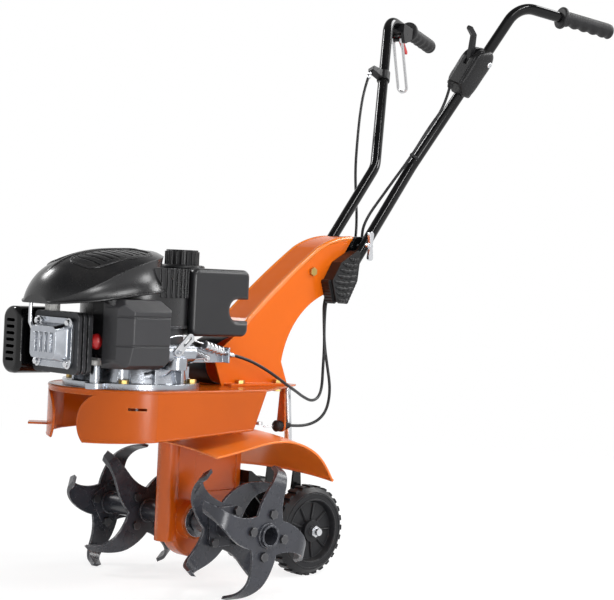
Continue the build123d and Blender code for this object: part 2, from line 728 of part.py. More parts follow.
def tensioner():
    """Bent arm with the idler's pin at its front and a tail for the cable."""
    tail = link(TENSIONER_CORNER_XY, TENSIONER_TAIL_XY, TENSIONER_HALF_W, TENSIONER_HALF_W / 2)
    face = link(TENSIONER_XY, IDLER_XY, TENSIONER_HALF_W, TENSIONER_HALF_W)
    face += link(TENSIONER_XY, TENSIONER_CORNER_XY, TENSIONER_HALF_W, TENSIONER_HALF_W)
    face += tail
    top = TENSIONER_Z + TENSIONER_T
    arm = slab_z(face, TENSIONER_Z, top)
    arm += bar_z(IDLER_PIN_R, top, BELT_Z + IDLER_W / 2, *IDLER_XY)
    arm -= bar_z(TENSIONER_PIN_R + RUN_GAP, 0, DECK_TOP_Z, *TENSIONER_XY)
    low, high = BELT_Z - IDLER_W / 2, BELT_Z + IDLER_W / 2
    idler = bar_z(IDLER_R, low, high, *IDLER_XY)
    for z in (low, high - IDLER_RIM):
        idler += bar_z(IDLER_R + IDLER_RIM, z, z + IDLER_RIM, *IDLER_XY)
    idler -= bar_z(IDLER_PIN_R + RUN_GAP, 0, DECK_TOP_Z, *IDLER_XY)
    return {"tensioner_arm": arm, "idler_pulley": idler}


def drive_pieces():
    """Worm shaft, pulleys, belt and the bearings in the gear case."""
    shaft_top = BELT_Z + PULLEY_W / 2
    shaft_foot = CASE_TUBE_FOOT_Z + CASE_WALL + PART_GAP
    worm = bar_z(WORM_SHAFT_R, shaft_foot, shaft_top, 0, 0)
    thread = worm_thread()
    for index in range(WORM_STARTS):
        worm += on_axis(Rot(0, 0, index * 360 / WORM_STARTS) * thread)
    place = Pos(0, WORM_Y, 0)

    belt = slab_z(belt_loop(BELT_T / 2), BELT_Z - BELT_W / 2, BELT_Z + BELT_W / 2)
    belt -= slab_z(belt_loop(-BELT_T / 2), BELT_Z - BELT_W, BELT_Z + BELT_W)

    bearings = []
    for z in (shaft_foot, CASE_SHOULDER_Z - BEARING_W):
        ring = bar_z(BEARING_R, z, z + BEARING_W, 0, WORM_Y)
        bearings.append(ring - bar_z(WORM_SHAFT_R + RUN_GAP, 0, DECK_TOP_Z, 0, WORM_Y))
    bush = bar_x(BUSH_R, CASE_BOSS_X - BUSH_L, CASE_BOSS_X, 0, TINE_AXIS_Z)
    bush += bar_x(BUSH_FLANGE_R, CASE_BOSS_X, CASE_BOSS_X + BUSH_FLANGE_T, 0, TINE_AXIS_Z)
    bush -= bar_x(SHAFT_R + RUN_GAP, 0, SHAFT_HALF_L, 0, TINE_AXIS_Z)
    bearings += [bush, other_side(bush)]
    return {
        "worm_shaft": place * worm,
        "drive_pulley": CRANK_AXIS * pulley(DRIVE_PULLEY_R, CRANK_R + SEAT_GAP),
        "driven_pulley": place * pulley(DRIVEN_PULLEY_R, WORM_SHAFT_R + SEAT_GAP),
        "drive_belt": belt,
        "gear_case_bearings": Compound(bearings),
    }


def gear_case():
    """Pressed case in two halves: worm tube in front, column up to the deck behind."""
    low_front = (WORM_Y, TINE_AXIS_Z - CASE_BOTTOM_R / 3)
    rear_foot = (CASE_BOTTOM_Y + CASE_BOTTOM_R, TINE_AXIS_Z)
    profile = make_face([
        Line((WORM_Y, CASE_SHOULDER_Z), low_front),
        ThreePointArc(low_front, (CASE_BOTTOM_Y, TINE_AXIS_Z - CASE_BOTTOM_R), rear_foot),
        Line(rear_foot, (CASE_REAR_Y, CASE_KNEE_Z)),
        Line((CASE_REAR_Y, CASE_KNEE_Z), (CASE_REAR_Y, DECK_UNDER_Z)),
        Line((CASE_REAR_Y, DECK_UNDER_Z), (CASE_COLUMN_Y, DECK_UNDER_Z)),
        Line((CASE_COLUMN_Y, DECK_UNDER_Z), (CASE_COLUMN_Y, CASE_SHOULDER_Z)),
        Line((CASE_COLUMN_Y, CASE_SHOULDER_Z), (WORM_Y, CASE_SHOULDER_Z)),
    ])
    profile = fillet(profile.vertices(), CASE_CORNER_R)
    case = slab_x(profile, -CASE_HALF_W, CASE_HALF_W)
    for end in (0, -1):
        case = fillet(case.faces().sort_by(Axis.X)[end].edges(), CASE_EDGE_R)
    case += bar_z(CASE_TUBE_R, CASE_TUBE_FOOT_Z, CASE_SHOULDER_Z, 0, WORM_Y)
    case += bar_x(CASE_BOSS_R, -CASE_BOSS_X, CASE_BOSS_X, 0, TINE_AXIS_Z)
    inner_half = CASE_HALF_W - CASE_WALL
    inside = slab_x(offset(profile, -CASE_WALL), -inner_half, inner_half)
    bore_r = CASE_TUBE_R - CASE_WALL
    bore_zs = (CASE_TUBE_FOOT_Z + CASE_WALL + BEARING_W, CASE_SHOULDER_Z - BEARING_W - CASE_WALL)
    inside += bar_z(bore_r, *bore_zs, 0, WORM_Y)
    for z in (CASE_TUBE_FOOT_Z + CASE_WALL, CASE_SHOULDER_Z - BEARING_W - CASE_WALL - SEAT_GAP):
        inside += bar_z(BEARING_R, z, z + BEARING_W + CASE_WALL + 2 * PART_GAP, 0, WORM_Y)
    case -= inside
    case -= bar_x(BUSH_R, -2 * CASE_BOSS_X, 2 * CASE_BOSS_X, 0, TINE_AXIS_Z)
    pad = Pos(*CASE_PAD_YZ) * RectangleRounded(CASE_PAD_L, CASE_PAD_H, CASE_WALL)
    for x in (-CASE_HALF_W, CASE_HALF_W):
        case -= slab_x(pad, x - CASE_PAD_DEPTH, x + CASE_PAD_DEPTH)
    half = block((0, CASE_REAR_Y), (-CASE_REAR_Y, 2 * CASE_REAR_Y), (0, DECK_TOP_Z))
    return {"gear_case_left": case & half, "gear_case_right": case & other_side(half)}


def deck_outline():
    """Plan of the deck's top plate."""
    side_y = CRANK_Y - math.sqrt(DECK_FRONT_R**2 - DECK_HALF_W**2)
    side = (DECK_HALF_W, side_y)
    rear = (DECK_HALF_W, DECK_SKIRT_REAR_Y)
    tail = (DECK_REAR_HALF_W, DECK_REAR_Y)

    def flip(point):
        return (-point[0], point[1])

    return make_face([
        ThreePointArc(flip(side), (0, CRANK_Y - DECK_FRONT_R), side),
        Line(side, rear),
        Line(rear, tail),
        Line(tail, flip(tail)),
        Line(flip(tail), flip(rear)),
        Line(flip(rear), flip(side)),
    ])


def deck():
    """Top plate, round skirt with its front scoop, tongue, tensioner pin and cable plate."""
    outline = deck_outline()
    foot = DECK_SKIRT_FOOT_Z
    plate = slab_z(outline, DECK_UNDER_Z, DECK_TOP_Z)
    skirt = slab_z(outline, foot, DECK_UNDER_Z)
    skirt -= slab_z(offset(outline, -DECK_T), foot, DECK_UNDER_Z)
    front_y = CRANK_Y - DECK_FRONT_R
    below = polygon(
        (front_y, foot), (DECK_SKIRT_REAR_Y - DECK_SKIRT_RUN, foot + DECK_SKIRT_RISE),
        (DECK_SKIRT_REAR_Y, DECK_UNDER_Z), (2 * DECK_REAR_Y, DECK_UNDER_Z), (2 * DECK_REAR_Y, foot),
    )
    skirt -= slab_x(below, -2 * DECK_HALF_W, 2 * DECK_HALF_W)
    top_z = DECK_UNDER_Z - SCOOP_LIP_H
    mid_z = (top_z + foot) / 2
    scoop = make_face([
        Line((-SCOOP_TOP_HALF, top_z), (SCOOP_TOP_HALF, top_z)),
        ThreePointArc((SCOOP_TOP_HALF, top_z), (SCOOP_MID_HALF, mid_z), (SCOOP_FOOT_HALF, foot)),
        Line((SCOOP_FOOT_HALF, foot), (-SCOOP_FOOT_HALF, foot)),
        ThreePointArc((-SCOOP_FOOT_HALF, foot), (-SCOOP_MID_HALF, mid_z), (-SCOOP_TOP_HALF, top_z)),
    ])
    skirt -= slab_y(scoop, CRANK_Y - 2 * DECK_FRONT_R, CRANK_Y)
    slot = Box(SKIRT_SLOT_L, 8 * DECK_T, SKIRT_SLOT_H)
    slot = Pos(0, -DECK_FRONT_R, DECK_UNDER_Z - SKIRT_SLOT_DROP) * slot
    skirt -= CRANK_AXIS * Rot(0, 0, SKIRT_SLOT_DEG) * slot
    tongue = block(
        (-TONGUE_W / 2, TONGUE_W / 2),
        (-DECK_FRONT_R - TONGUE_OUT, -DECK_FRONT_R + DECK_T),
        (foot + TONGUE_H, foot + TONGUE_H + DECK_T),
    )
    whole = plate + skirt + CRANK_AXIS * Rot(0, 0, TONGUE_DEG) * tongue
    arm_top = TENSIONER_Z + TENSIONER_T + PART_GAP
    whole += bar_z(TENSIONER_PIN_R, TENSIONER_Z - PART_GAP, DECK_UNDER_Z, *TENSIONER_XY)
    whole += bar_z(1.5 * TENSIONER_PIN_R, arm_top, DECK_UNDER_Z, *TENSIONER_XY)
    stop_y = (BOOT_FRONT_Y + BOOT_REAR_Y) / 2
    hanger = link((CLUTCH_WIRE_X, CLUTCH_WIRE_Z), (CLUTCH_WIRE_X, DECK_UNDER_Z), 4 * CABLE_R, 2 * CABLE_R)
    stop = slab_y(hanger, stop_y - DECK_T, stop_y) & block(
        (0, DECK_HALF_W), (BOOT_FRONT_Y, BOOT_REAR_Y), (0, DECK_UNDER_Z)
    )
    whole += stop - bar_y(2 * CABLE_R, BOOT_FRONT_Y, BOOT_REAR_Y, CLUTCH_WIRE_X, CLUTCH_WIRE_Z)
    whole -= bar_z(PILOT_R + PART_GAP, DECK_UNDER_Z, DECK_TOP_Z, 0, CRANK_Y)
    for x, y in engine_bolt_spots() + mast_bolt_spots():
        whole -= bolt_hole(DECK_UNDER_Z, DECK_TOP_Z, x, y)
    return whole


def engine_bolt_spots():
    """Places of the four bolts through the engine's flange."""
    reach = ENGINE_BOLT_R * math.cos(math.radians(45))
    return [(side * reach, CRANK_Y + end * reach) for side in (-1, 1) for end in (-1, 1)]


def mast_bolt_spots():
    """Places of the bolts through the mast's feet."""
    x = MAST_HALF_W + MAST_FOOT_W / 2
    return [(side * x, y) for side in (-1, 1) for y in MAST_BOLT_YS]


def mast():
    """Channel with a bowed front sheet and two cheeks, open behind, on two feet."""

    def raised(point):
        return (point[0], DECK_TOP_Z + point[1])

    foot, nose, chest, brow = [raised(point) for point in MAST_FRONT]
    bow, shoulder = [raised(point) for point in MAST_BOW]
    crest, tip = [raised(point) for point in MAST_TOP]
    heel, lip = [raised(point) for point in MAST_HEEL]
    hollow_back, waist = [raised(point) for point in MAST_WAIST]
    rear_foot = raised(MAST_REAR_FOOT)
    profile = make_face([
        Line(foot, nose),
        Line(nose, chest),
        Line(chest, brow),
        ThreePointArc(brow, bow, shoulder),
        ThreePointArc(shoulder, crest, tip),
        Line(tip, heel),
        Line(heel, lip),
        ThreePointArc(lip, hollow_back, waist),
        Line(waist, rear_foot),
        Line(rear_foot, foot),
    ])
    body = slab_x(profile, -MAST_HALF_W, MAST_HALF_W)
    inner_half = MAST_HALF_W - MAST_WALL
    hollow = slab_x(offset(profile, -MAST_WALL), -inner_half, inner_half)
    for rearwards, downwards in ((0, 0), (2, 2), (4, 1), (4, 5)):
        body -= Pos(0, rearwards * MAST_WALL, -downwards * MAST_WALL) * hollow
    body -= block((-inner_half, inner_half), (0, chest[0]), (DECK_TOP_Z, chest[1]))
    for side in (-1, 1):
        xs = sorted((side * inner_half, side * (MAST_HALF_W + MAST_FOOT_W)))
        body += block(xs, MAST_FOOT_YS, (DECK_TOP_Z, DECK_TOP_Z + MAST_FOOT_T))
    for x, y in mast_bolt_spots():
        body -= bolt_hole(DECK_TOP_Z, DECK_TOP_Z + MAST_FOOT_T, x, y)
    return body - bar_x(BOLT_R + BOLT_GAP, -2 * MAST_HALF_W, 2 * MAST_HALF_W, *BRACKET_BOLT_YZ)


def frame_bolts():
    """Bolts of the engine flange, the mast's feet and the handle bracket."""
    bolts = []
    for x, y in engine_bolt_spots():
        bolts.append(Pos(x, y, DECK_TOP_Z + FLANGE_T) * bolt(FLANGE_T + DECK_T))
    for x, y in mast_bolt_spots():
        bolts.append(Pos(x, y, DECK_TOP_Z + MAST_FOOT_T) * bolt(MAST_FOOT_T + DECK_T))
    bolts.append(Pos(MAST_HALF_W, *BRACKET_BOLT_YZ) * Rot(0, 90, 0) * bolt(2 * MAST_HALF_W))
    return Compound(bolts)


def handle_bracket():
    """Two plates bolted inside the mast's top, joined by the barrel that carries the pivot."""
    pivot = PIVOT[1:]
    outer = MAST_HALF_W - MAST_WALL - SEAT_GAP
    inner = outer - 3 * MAST_WALL
    plate = slab_x(link(BRACKET_BOLT_YZ, pivot, EAR_R - 2 * MAST_WALL, EAR_R), inner, outer)
    body = plate + other_side(plate)
    barrel_half = SOCKET_IN_X - PART_GAP
    body += bar_x(EAR_R, -barrel_half, barrel_half, *pivot)
    body += bar_x(EAR_R / 2, -outer, outer, *BRACKET_BOLT_YZ)
    body -= bar_x(BOLT_R + BOLT_GAP, -MAST_HALF_W, MAST_HALF_W, *BRACKET_BOLT_YZ)
    return body - bar_x(PIVOT_R + RUN_GAP, -MAST_HALF_W * 2, MAST_HALF_W * 2, *pivot)


def hood():
    """Arched sheet over the tines, its rear drawn down in front of the wheels."""
    sections = []
    for y, lift, slope in HOOD_LINE:
        tilt = math.radians(slope)
        square = (0, -math.cos(tilt), -math.sin(tilt))
        across = Plane(origin=(0, y, TINE_AXIS_Z + lift), x_dir=(1, 0, 0), z_dir=square)
        low = ThreePointArc((-HOOD_HALF_W, 0), (0, HOOD_CROWN), (HOOD_HALF_W, 0))
        high = ThreePointArc((HOOD_HALF_W, HOOD_T), (0, HOOD_CROWN + HOOD_T), (-HOOD_HALF_W, HOOD_T))
        left = Line((HOOD_HALF_W, 0), (HOOD_HALF_W, HOOD_T))
        right = Line((-HOOD_HALF_W, HOOD_T), (-HOOD_HALF_W, 0))
        sections.append(across * make_face([low, left, high, right]))
    sheet = loft(sections)
    sheet -= block((-CASE_HALF_W, CASE_HALF_W), (WORM_Y, CASE_REAR_Y), (0, DECK_TOP_Z))
    return sheet - bar_z(CASE_TUBE_R, 0, DECK_TOP_Z, 0, WORM_Y)


def wheel_bracket():
    """Two cheeks from the gear case's back to the axle and up to the stay rod."""
    y_pin, z_pin = STAY_FOOT_YZ
    back = CASE_REAR_Y
    eye = STAY_PIN_R + STAY_EYE_HALF_W
    side = 3 * AXLE_R
    web_top = CASE_KNEE_Z + 7 * BRACKET_T
    lip_y, lip_lift, lip_slope = HOOD_LINE[-1]
    clear = HOOD_CROWN + HOOD_T + BRACKET_HOOD_GAP
    lip_y -= clear * math.sin(math.radians(lip_slope))
    lip_lift += clear * math.cos(math.radians(lip_slope))
    face = polygon(
        (back, web_top), (back, CASE_KNEE_Z),
        (WHEEL_Y - side, AXLE_Z - side), (WHEEL_Y + side, AXLE_Z - side), (WHEEL_Y + side, AXLE_Z + side),
        (y_pin + eye, z_pin + eye), (y_pin - eye, z_pin + eye), (y_pin - eye, z_pin - eye),
        (lip_y, TINE_AXIS_Z + lip_lift), (WHEEL_Y - eye, AXLE_Z + WHEEL_HUB_R + side),
    )
    face = fillet(face.vertices(), BRACKET_T)
    outer = BRACKET_X + BRACKET_T
    cheek = slab_x(face, BRACKET_X, outer)
    body = cheek + other_side(cheek)
    body += block((-outer, outer), (back, back + BRACKET_T), (CASE_KNEE_Z + BRACKET_T, web_top - BRACKET_T))
    body += bar_x(2 * AXLE_R, -outer, outer, WHEEL_Y, AXLE_Z)
    body -= bar_x(AXLE_R + SEAT_GAP, -2 * outer, 2 * outer, WHEEL_Y, AXLE_Z)
    return body + bar_x(STAY_PIN_R, -outer, outer, y_pin, z_pin)


def stay_rod():
    """Tube between the deck's tail and the wheel bracket's pin, with an eye at its foot."""
    half = STAY_EYE_HALF_W
    top = (STAY_X, *STAY_TOP_YZ)
    rise = (STAY_X, STAY_TOP_YZ[0], DECK_UNDER_Z)
    rod = swept(Circle(STAY_R), FilletPolyline(rise, top, (STAY_X, *STAY_FOOT_YZ), radius=2 * STAY_R))
    rod += bar_x(STAY_PIN_R + half, STAY_X - half, STAY_X + half, *STAY_FOOT_YZ)
    rod -= bar_x(STAY_PIN_R + SEAT_GAP, 0, 2 * STAY_X, *STAY_FOOT_YZ)
    pad = bar_z(STAY_R + DECK_T, DECK_UNDER_Z - DECK_T, DECK_UNDER_Z, STAY_X, STAY_TOP_YZ[0])
    return rod + pad


def wheels():
    """Moulded wheels with lugged treads, and their axle with its two nuts."""
    half = WHEEL_W / 2
    bore = AXLE_R + RUN_GAP
    body_r = WHEEL_R - WHEEL_LUG_H
    web = half - WHEEL_DISH
    wall_r = body_r - WHEEL_SHOULDER
    step_r = WHEEL_DISH_R + WHEEL_LUG_H
    half_profile = [
        (bore, half), (WHEEL_HUB_R, half), (WHEEL_HUB_R, web), (WHEEL_DISH_R, web), (step_r, half),
        (wall_r, half), (body_r, half - WHEEL_SHOULDER),
    ]
    mirrored = [(radius, -height) for radius, height in reversed(half_profile)]
    wheel = revolve(Plane.XZ * polygon(*half_profile, *mirrored), Axis.Z)
    for index in range(WHEEL_LUGS):
        lug = Pos(body_r, 0, 0) * Box(2 * WHEEL_LUG_H, WHEEL_LUG_W, WHEEL_W - 2 * WHEEL_SHOULDER)
        wheel += Rot(0, 0, index * 360 / WHEEL_LUGS) * lug
    wheel &= Cylinder(WHEEL_R, 2 * WHEEL_W)
    left = Pos(WHEEL_X, WHEEL_Y, AXLE_Z) * Rot(0, 90, 0) * wheel
    outside = WHEEL_X + half + PART_GAP
    end = outside + 2 * AXLE_NUT_H
    axle = bar_x(AXLE_R, -end, end, WHEEL_Y, AXLE_Z)
    for x in (outside, -outside - AXLE_NUT_H):
        axle += Pos(x, WHEEL_Y, AXLE_Z) * Rot(0, 90, 0) * extrude(hexagon(AXLE_NUT_AF), AXLE_NUT_H)
    for side in (-1, 1):
        xs = sorted((side * (BRACKET_X + BRACKET_T), side * (WHEEL_X - half - PART_GAP)))
        axle += bar_x(AXLE_R + BRACKET_T, *xs, WHEEL_Y, AXLE_Z)
    return {"left_wheel": left, "right_wheel": other_side(left), "wheel_axle": axle}


def engine_sump():
    """Ribbed lower casting: flange on the deck, pilot through it and the oil filler's neck."""
    flange_top = DECK_TOP_Z + FLANGE_T
    sump = bar_z(FLANGE_R, DECK_TOP_Z, flange_top, 0, 0)
    sump += bar_z(PILOT_R, DECK_TOP_Z - PILOT_H, DECK_TOP_Z, 0, 0)
    foot_r = FLANGE_R - 2 * FLANGE_T
    cone = polygon((0, flange_top), (foot_r, flange_top), (SUMP_TOP_R, SUMP_TOP_Z), (0, SUMP_TOP_Z))
    sump += revolve(Plane.XZ * cone, Axis.Z)
    rib_xs = (SUMP_TOP_R - FLANGE_T, FLANGE_R - FLANGE_T)
    for index in range(SUMP_RIBS):
        rib = block(rib_xs, (-SUMP_RIB_T / 2, SUMP_RIB_T / 2), (flange_top, SUMP_TOP_Z - SUMP_RIB_T))
        sump += Rot(0, 0, (index + 0.5) * 360 / SUMP_RIBS) * rib
    sump -= bar_z(CRANK_R + RUN_GAP, 0, 2 * SUMP_TOP_Z, 0, 0)
    sump = CRANK_AXIS * sump
    sump += bar_z(2 * OIL_NECK_R, DECK_TOP_Z, flange_top, *OIL_NECK_XY)
    sump += bar_z(OIL_NECK_R, flange_top, OIL_NECK_TOP_Z, *OIL_NECK_XY)
    sump -= bar_z(OIL_NECK_R - CASE_WALL / 2, flange_top, OIL_NECK_TOP_Z, *OIL_NECK_XY)
    for x, y in engine_bolt_spots():
        sump -= bar_z(BOLT_AF, flange_top, SUMP_TOP_Z, x, y)
        sump -= bolt_hole(DECK_TOP_Z, flange_top, x, y)
    return sump


def engine_castings():
    """Finned block, cylinder head and rocker cover on the cylinder's line."""
    barrel_front = HEAD_Y + HEAD_DEPTH
    body = bar_z(BLOCK_R, SUMP_TOP_Z, BLOCK_TOP_Z, 0, CRANK_Y)
    body += bar_z(DRUM_R, BLOCK_TOP_Z - BLOCK_RIM_T, BLOCK_TOP_Z, 0, CRANK_Y)
    body += bar_y(BARREL_R, barrel_front, CRANK_Y, 0, BORE_Z)
    fin = Pos(0, BORE_Z) * RectangleRounded(2 * FIN_HALF_W, HEAD_H - 2 * FIN_PITCH, FIN_PITCH)
    for index in range(FIN_COUNT):
        y = barrel_front + (index + 0.5) * FIN_PITCH
        body += slab_y(fin, y, y + FIN_T)
    body -= bar_z(CRANK_R + RUN_GAP, 0, 2 * BLOCK_TOP_Z, 0, CRANK_Y)
    body -= bar_z(DRUM_R + SEAT_GAP, BLOCK_TOP_Z, 2 * BLOCK_TOP_Z, 0, CRANK_Y)
    body -= bar_z(FLANGE_R, DECK_TOP_Z, SUMP_TOP_Z, 0, CRANK_Y)

    head_face = Pos(0, BORE_Z) * RectangleRounded(2 * HEAD_HALF_W, HEAD_H, FIN_PITCH)
    core = RectangleRounded(2 * (HEAD_HALF_W - FIN_PITCH), HEAD_H - 2 * FIN_PITCH, FIN_PITCH / 2)
    core = Pos(0, BORE_Z) * core
    head = slab_y(head_face, HEAD_Y, barrel_front)
    for index in range(2):
        y = HEAD_Y + (index + 0.7) * FIN_PITCH
        head -= slab_y(head_face, y, y + FIN_T) - slab_y(core, y, y + FIN_T)
    head_top = BORE_Z + HEAD_H / 2
    head -= bar_z(PLUG_THREAD_R + SEAT_GAP, head_top - PLUG_THREAD_L, head_top, *PLUG_XY)

    seat_y = HEAD_Y - COVER_FLANGE_T
    flange = Pos(0, BORE_Z) * RectangleRounded(COVER_W + 3 * FIN_PITCH, COVER_H + 3 * FIN_PITCH, FIN_PITCH)
    cover = slab_y(flange, seat_y, HEAD_Y)
    wide = Pos(0, BORE_Z) * RectangleRounded(COVER_W + FIN_PITCH, COVER_H + FIN_PITCH, FIN_PITCH)
    narrow = Pos(0, BORE_Z) * RectangleRounded(COVER_W, COVER_H, FIN_PITCH)
    face_y = seat_y - COVER_DEPTH
    cover += loft([Plane.XZ.offset(-seat_y) * wide, Plane.XZ.offset(-face_y) * narrow])
    rib = RectangleRounded(2 * FIN_T, COVER_H - 2 * FIN_PITCH, FIN_T - SEAT_GAP)
    for index in range(COVER_RIBS):
        x = (index - (COVER_RIBS - 1) / 2) * COVER_W / (COVER_RIBS + 1)
        cover += slab_y(Pos(x, BORE_Z) * rib, face_y - COVER_RIB_H, face_y)
    return {"engine_block": body, "cylinder_head": head, "rocker_cover": cover}


def spark_plug():
    """Plug screwed into the head's top, with its insulator and cap."""
    low = BORE_Z + HEAD_H / 2
    plug = bar_z(PLUG_THREAD_R, low - PLUG_THREAD_L, low, 0, 0)
    plug += Pos(0, 0, low) * extrude(hexagon(PLUG_AF), PLUG_THREAD_L)
    plug += bar_z(PLUG_THREAD_R, low, low + 2 * PLUG_THREAD_L, 0, 0)
    return Pos(*PLUG_XY, 0) * plug


def cowl_stay():
    """Bent rod from a tab on the rocker cover's flange up to the inside of the cowl's nose."""
    seat_y = HEAD_Y - COVER_FLANGE_T
    x = -(COVER_W + 2 * FIN_PITCH) / 2
    start = (x, seat_y, BORE_Z + STAY_TAB)
    points = (
        start,
        (x, seat_y - STAY_TAB / 2, start[2]),
        (x, seat_y - STAY_TAB, start[2] + STAY_TAB),
        (x, seat_y - STAY_TAB, DRUM_TOP_Z + STAY_TAB),
    )
    rod = swept(Circle(STAY_ROD_R), FilletPolyline(*points, radius=2 * STAY_ROD_R))
    rod -= cowl_form(0) - cowl_form(COWL_WALL + PART_GAP)
    return rod.solids().sort_by(Axis.Z)[0]


def crank_pieces():
    """Crankshaft with its flywheel and fan."""
    foot = BELT_Z - PULLEY_W / 2
    top = FLYWHEEL_Z + FLYWHEEL_T
    shaft = bar_z(CRANK_R, foot, top, 0, 0) + Pos(0, 0, top) * extrude(hexagon(2 * CRANK_R), FLYWHEEL_T)
    wheel = bar_z(FLYWHEEL_R, FLYWHEEL_Z, top, 0, 0)
    blade = block((FAN_FOOT_R, FLYWHEEL_R - FIN_T), (-FIN_T / 2, FIN_T / 2), (top, top + FAN_H))
    for index in range(FAN_BLADES):
        wheel += Rot(0, 0, index * 360 / FAN_BLADES) * blade
    wheel -= bar_z(CRANK_R + SEAT_GAP, FLYWHEEL_Z, top, 0, 0)
    return {"crankshaft": CRANK_AXIS * shaft, "flywheel": CRANK_AXIS * wheel}


def muffler():
    """Rounded box beside the head, slotted in front, on its exhaust pipe."""
    box = block(MUFFLER_X, MUFFLER_Y, MUFFLER_Z)
    box = fillet(box.edges().filter_by(Axis.Y), MUFFLER_CORNER_R)
    box = fillet(box.faces().sort_by(Axis.Y)[0].edges(), TANK_EDGE_R)
    spans = [(low + FIN_T, high - FIN_T) for low, high in (MUFFLER_X, MUFFLER_Y, MUFFLER_Z)]
    inside = block(*spans)
    inside = fillet(inside.edges().filter_by(Axis.Y), MUFFLER_CORNER_R - FIN_T)
    box -= fillet(inside.faces().sort_by(Axis.Y)[0].edges(), TANK_EDGE_R)
    middle_x = (MUFFLER_X[0] + MUFFLER_X[1]) / 2
    middle_z = (MUFFLER_Z[0] + MUFFLER_Z[1]) / 2
    slot = RectangleRounded(MUFFLER_SLOT_L, MUFFLER_SLOT_W, MUFFLER_SLOT_W / 2 - SEAT_GAP)
    slot = Pos(middle_x, 0) * slot
    for index in range(MUFFLER_SLOTS):
        z = middle_z + (index - (MUFFLER_SLOTS - 1) / 2) * 2 * MUFFLER_SLOT_W
        box -= slab_y(Pos(0, z) * slot, MUFFLER_Y[0], MUFFLER_Y[0] + FIN_T)
    pipe_y = HEAD_Y + HEAD_DEPTH / 2
    return box + bar_x(HEAD_DEPTH / 2 - FIN_T, MUFFLER_X[1], -HEAD_HALF_W, pipe_y, BORE_Z)


def cowl_form(inset):
    """Drooping top cover as a solid, its skin moved inwards by inset."""
    sections = []
    for index, (fore, rim_half, rim, crease_half, crease, crown) in enumerate(COWL_SECTIONS):
        y = CRANK_Y - fore
        if index == 0:
            y += inset
        if index == len(COWL_SECTIONS) - 1:
            y -= inset
        wide, narrow = rim_half - inset, crease_half - inset
        low, side, top = [DECK_TOP_Z + height - inset for height in (rim, crease, crown)]
        middle = ((wide + narrow) / 2 - COWL_HOLLOW_SHARE * (side - low), (low + side) / 2)
        face = make_face([
            Line((-wide, low), (wide, low)),
            ThreePointArc((wide, low), middle, (narrow, side)),
            ThreePointArc((narrow, side), (0, top), (-narrow, side)),
            ThreePointArc((-narrow, side), (-middle[0], middle[1]), (-wide, low)),
        ])
        sections.append(Plane.XZ.offset(-y) * face)
    return loft(sections)


def engine_cowl():
    """Top cover with two grilles, and the drum under it that encloses the flywheel."""
    outer = cowl_form(0)
    hollow = cowl_form(COWL_WALL)
    cover = outer - hollow
    half_l, half_w = GRILLE_SLOT_L / 2, GRILLE_SLOT_W / 2
    for index in range(GRILLE_SLOTS):
        slot = block((-half_l, half_l), (-half_w, half_w), (BLOCK_TOP_Z, 2 * BLOCK_TOP_Z))
        y = CRANK_Y - GRILLE_FORE + index * GRILLE_PITCH
        slot = Pos(GRILLE_X, y, 0) * Rot(0, 0, GRILLE_DEG) * slot
        cover -= slot
        cover -= other_side(slot)
    inner_r = DRUM_R - COWL_WALL
    low_ring = bar_z(DRUM_R, BLOCK_TOP_Z, DRUM_TOP_Z, 0, CRANK_Y)
    low_ring -= bar_z(inner_r, BLOCK_TOP_Z, DRUM_TOP_Z, 0, CRANK_Y)
    rib_xs = (DRUM_R - COWL_WALL / 2, DRUM_R + DRUM_RIB_H)
    rib = block(rib_xs, (-DRUM_RIB_W / 2, DRUM_RIB_W / 2), (FILTER_Z[1] + DRUM_RIB_W, DRUM_TOP_Z))
    for index in range(DRUM_RIBS):
        share = index / (DRUM_RIBS - 1)
        turn = DRUM_RIB_DEGS[0] + share * (DRUM_RIB_DEGS[1] - DRUM_RIB_DEGS[0])
        low_ring += CRANK_AXIS * Rot(0, 0, turn) * rib
    high_ring = bar_z(DRUM_R, DRUM_TOP_Z, 2 * DRUM_TOP_Z, 0, CRANK_Y)
    high_ring -= bar_z(inner_r, DRUM_TOP_Z, 2 * DRUM_TOP_Z, 0, CRANK_Y)
    lid = bar_z(DRUM_R, DRUM_TOP_Z - COWL_WALL, DRUM_TOP_Z, 0, CRANK_Y) - hollow
    return cover + low_ring + (high_ring & outer) + lid


def fuel_tank():
    """Moulded tank behind the flywheel's drum, notched at its rear, with its filler neck."""
    outline = Pos(sum(TANK_Y) / 2, sum(TANK_Z) / 2)
    outline *= RectangleRounded(TANK_Y[1] - TANK_Y[0], TANK_Z[1] - TANK_Z[0], TANK_CORNER_R)
    deep, high = TANK_Y[1] - TANK_NOTCH_DEPTH, TANK_Z[0] + TANK_NOTCH_LIFT
    notch = link((deep, high), (deep + 4 * TANK_NOTCH_R, high), TANK_NOTCH_R, TANK_NOTCH_R)
    tank = slab_x(outline - notch, *TANK_X)
    for end in (0, -1):
        tank = fillet(tank.faces().sort_by(Axis.X)[end].edges(), TANK_EDGE_R)
    tank -= bar_z(DRUM_R + PART_GAP, 0, 2 * DRUM_TOP_Z, 0, CRANK_Y)
    neck_top = CAP_Z[1] - CAP_TOP_T - PART_GAP
    neck = bar_z(NECK_R, TANK_Z[1] - TANK_EDGE_R, neck_top, *CAP_XY)
    neck -= bar_z(DRUM_R + PART_GAP, 0, DRUM_TOP_Z + PART_GAP, 0, CRANK_Y)
    return tank + neck


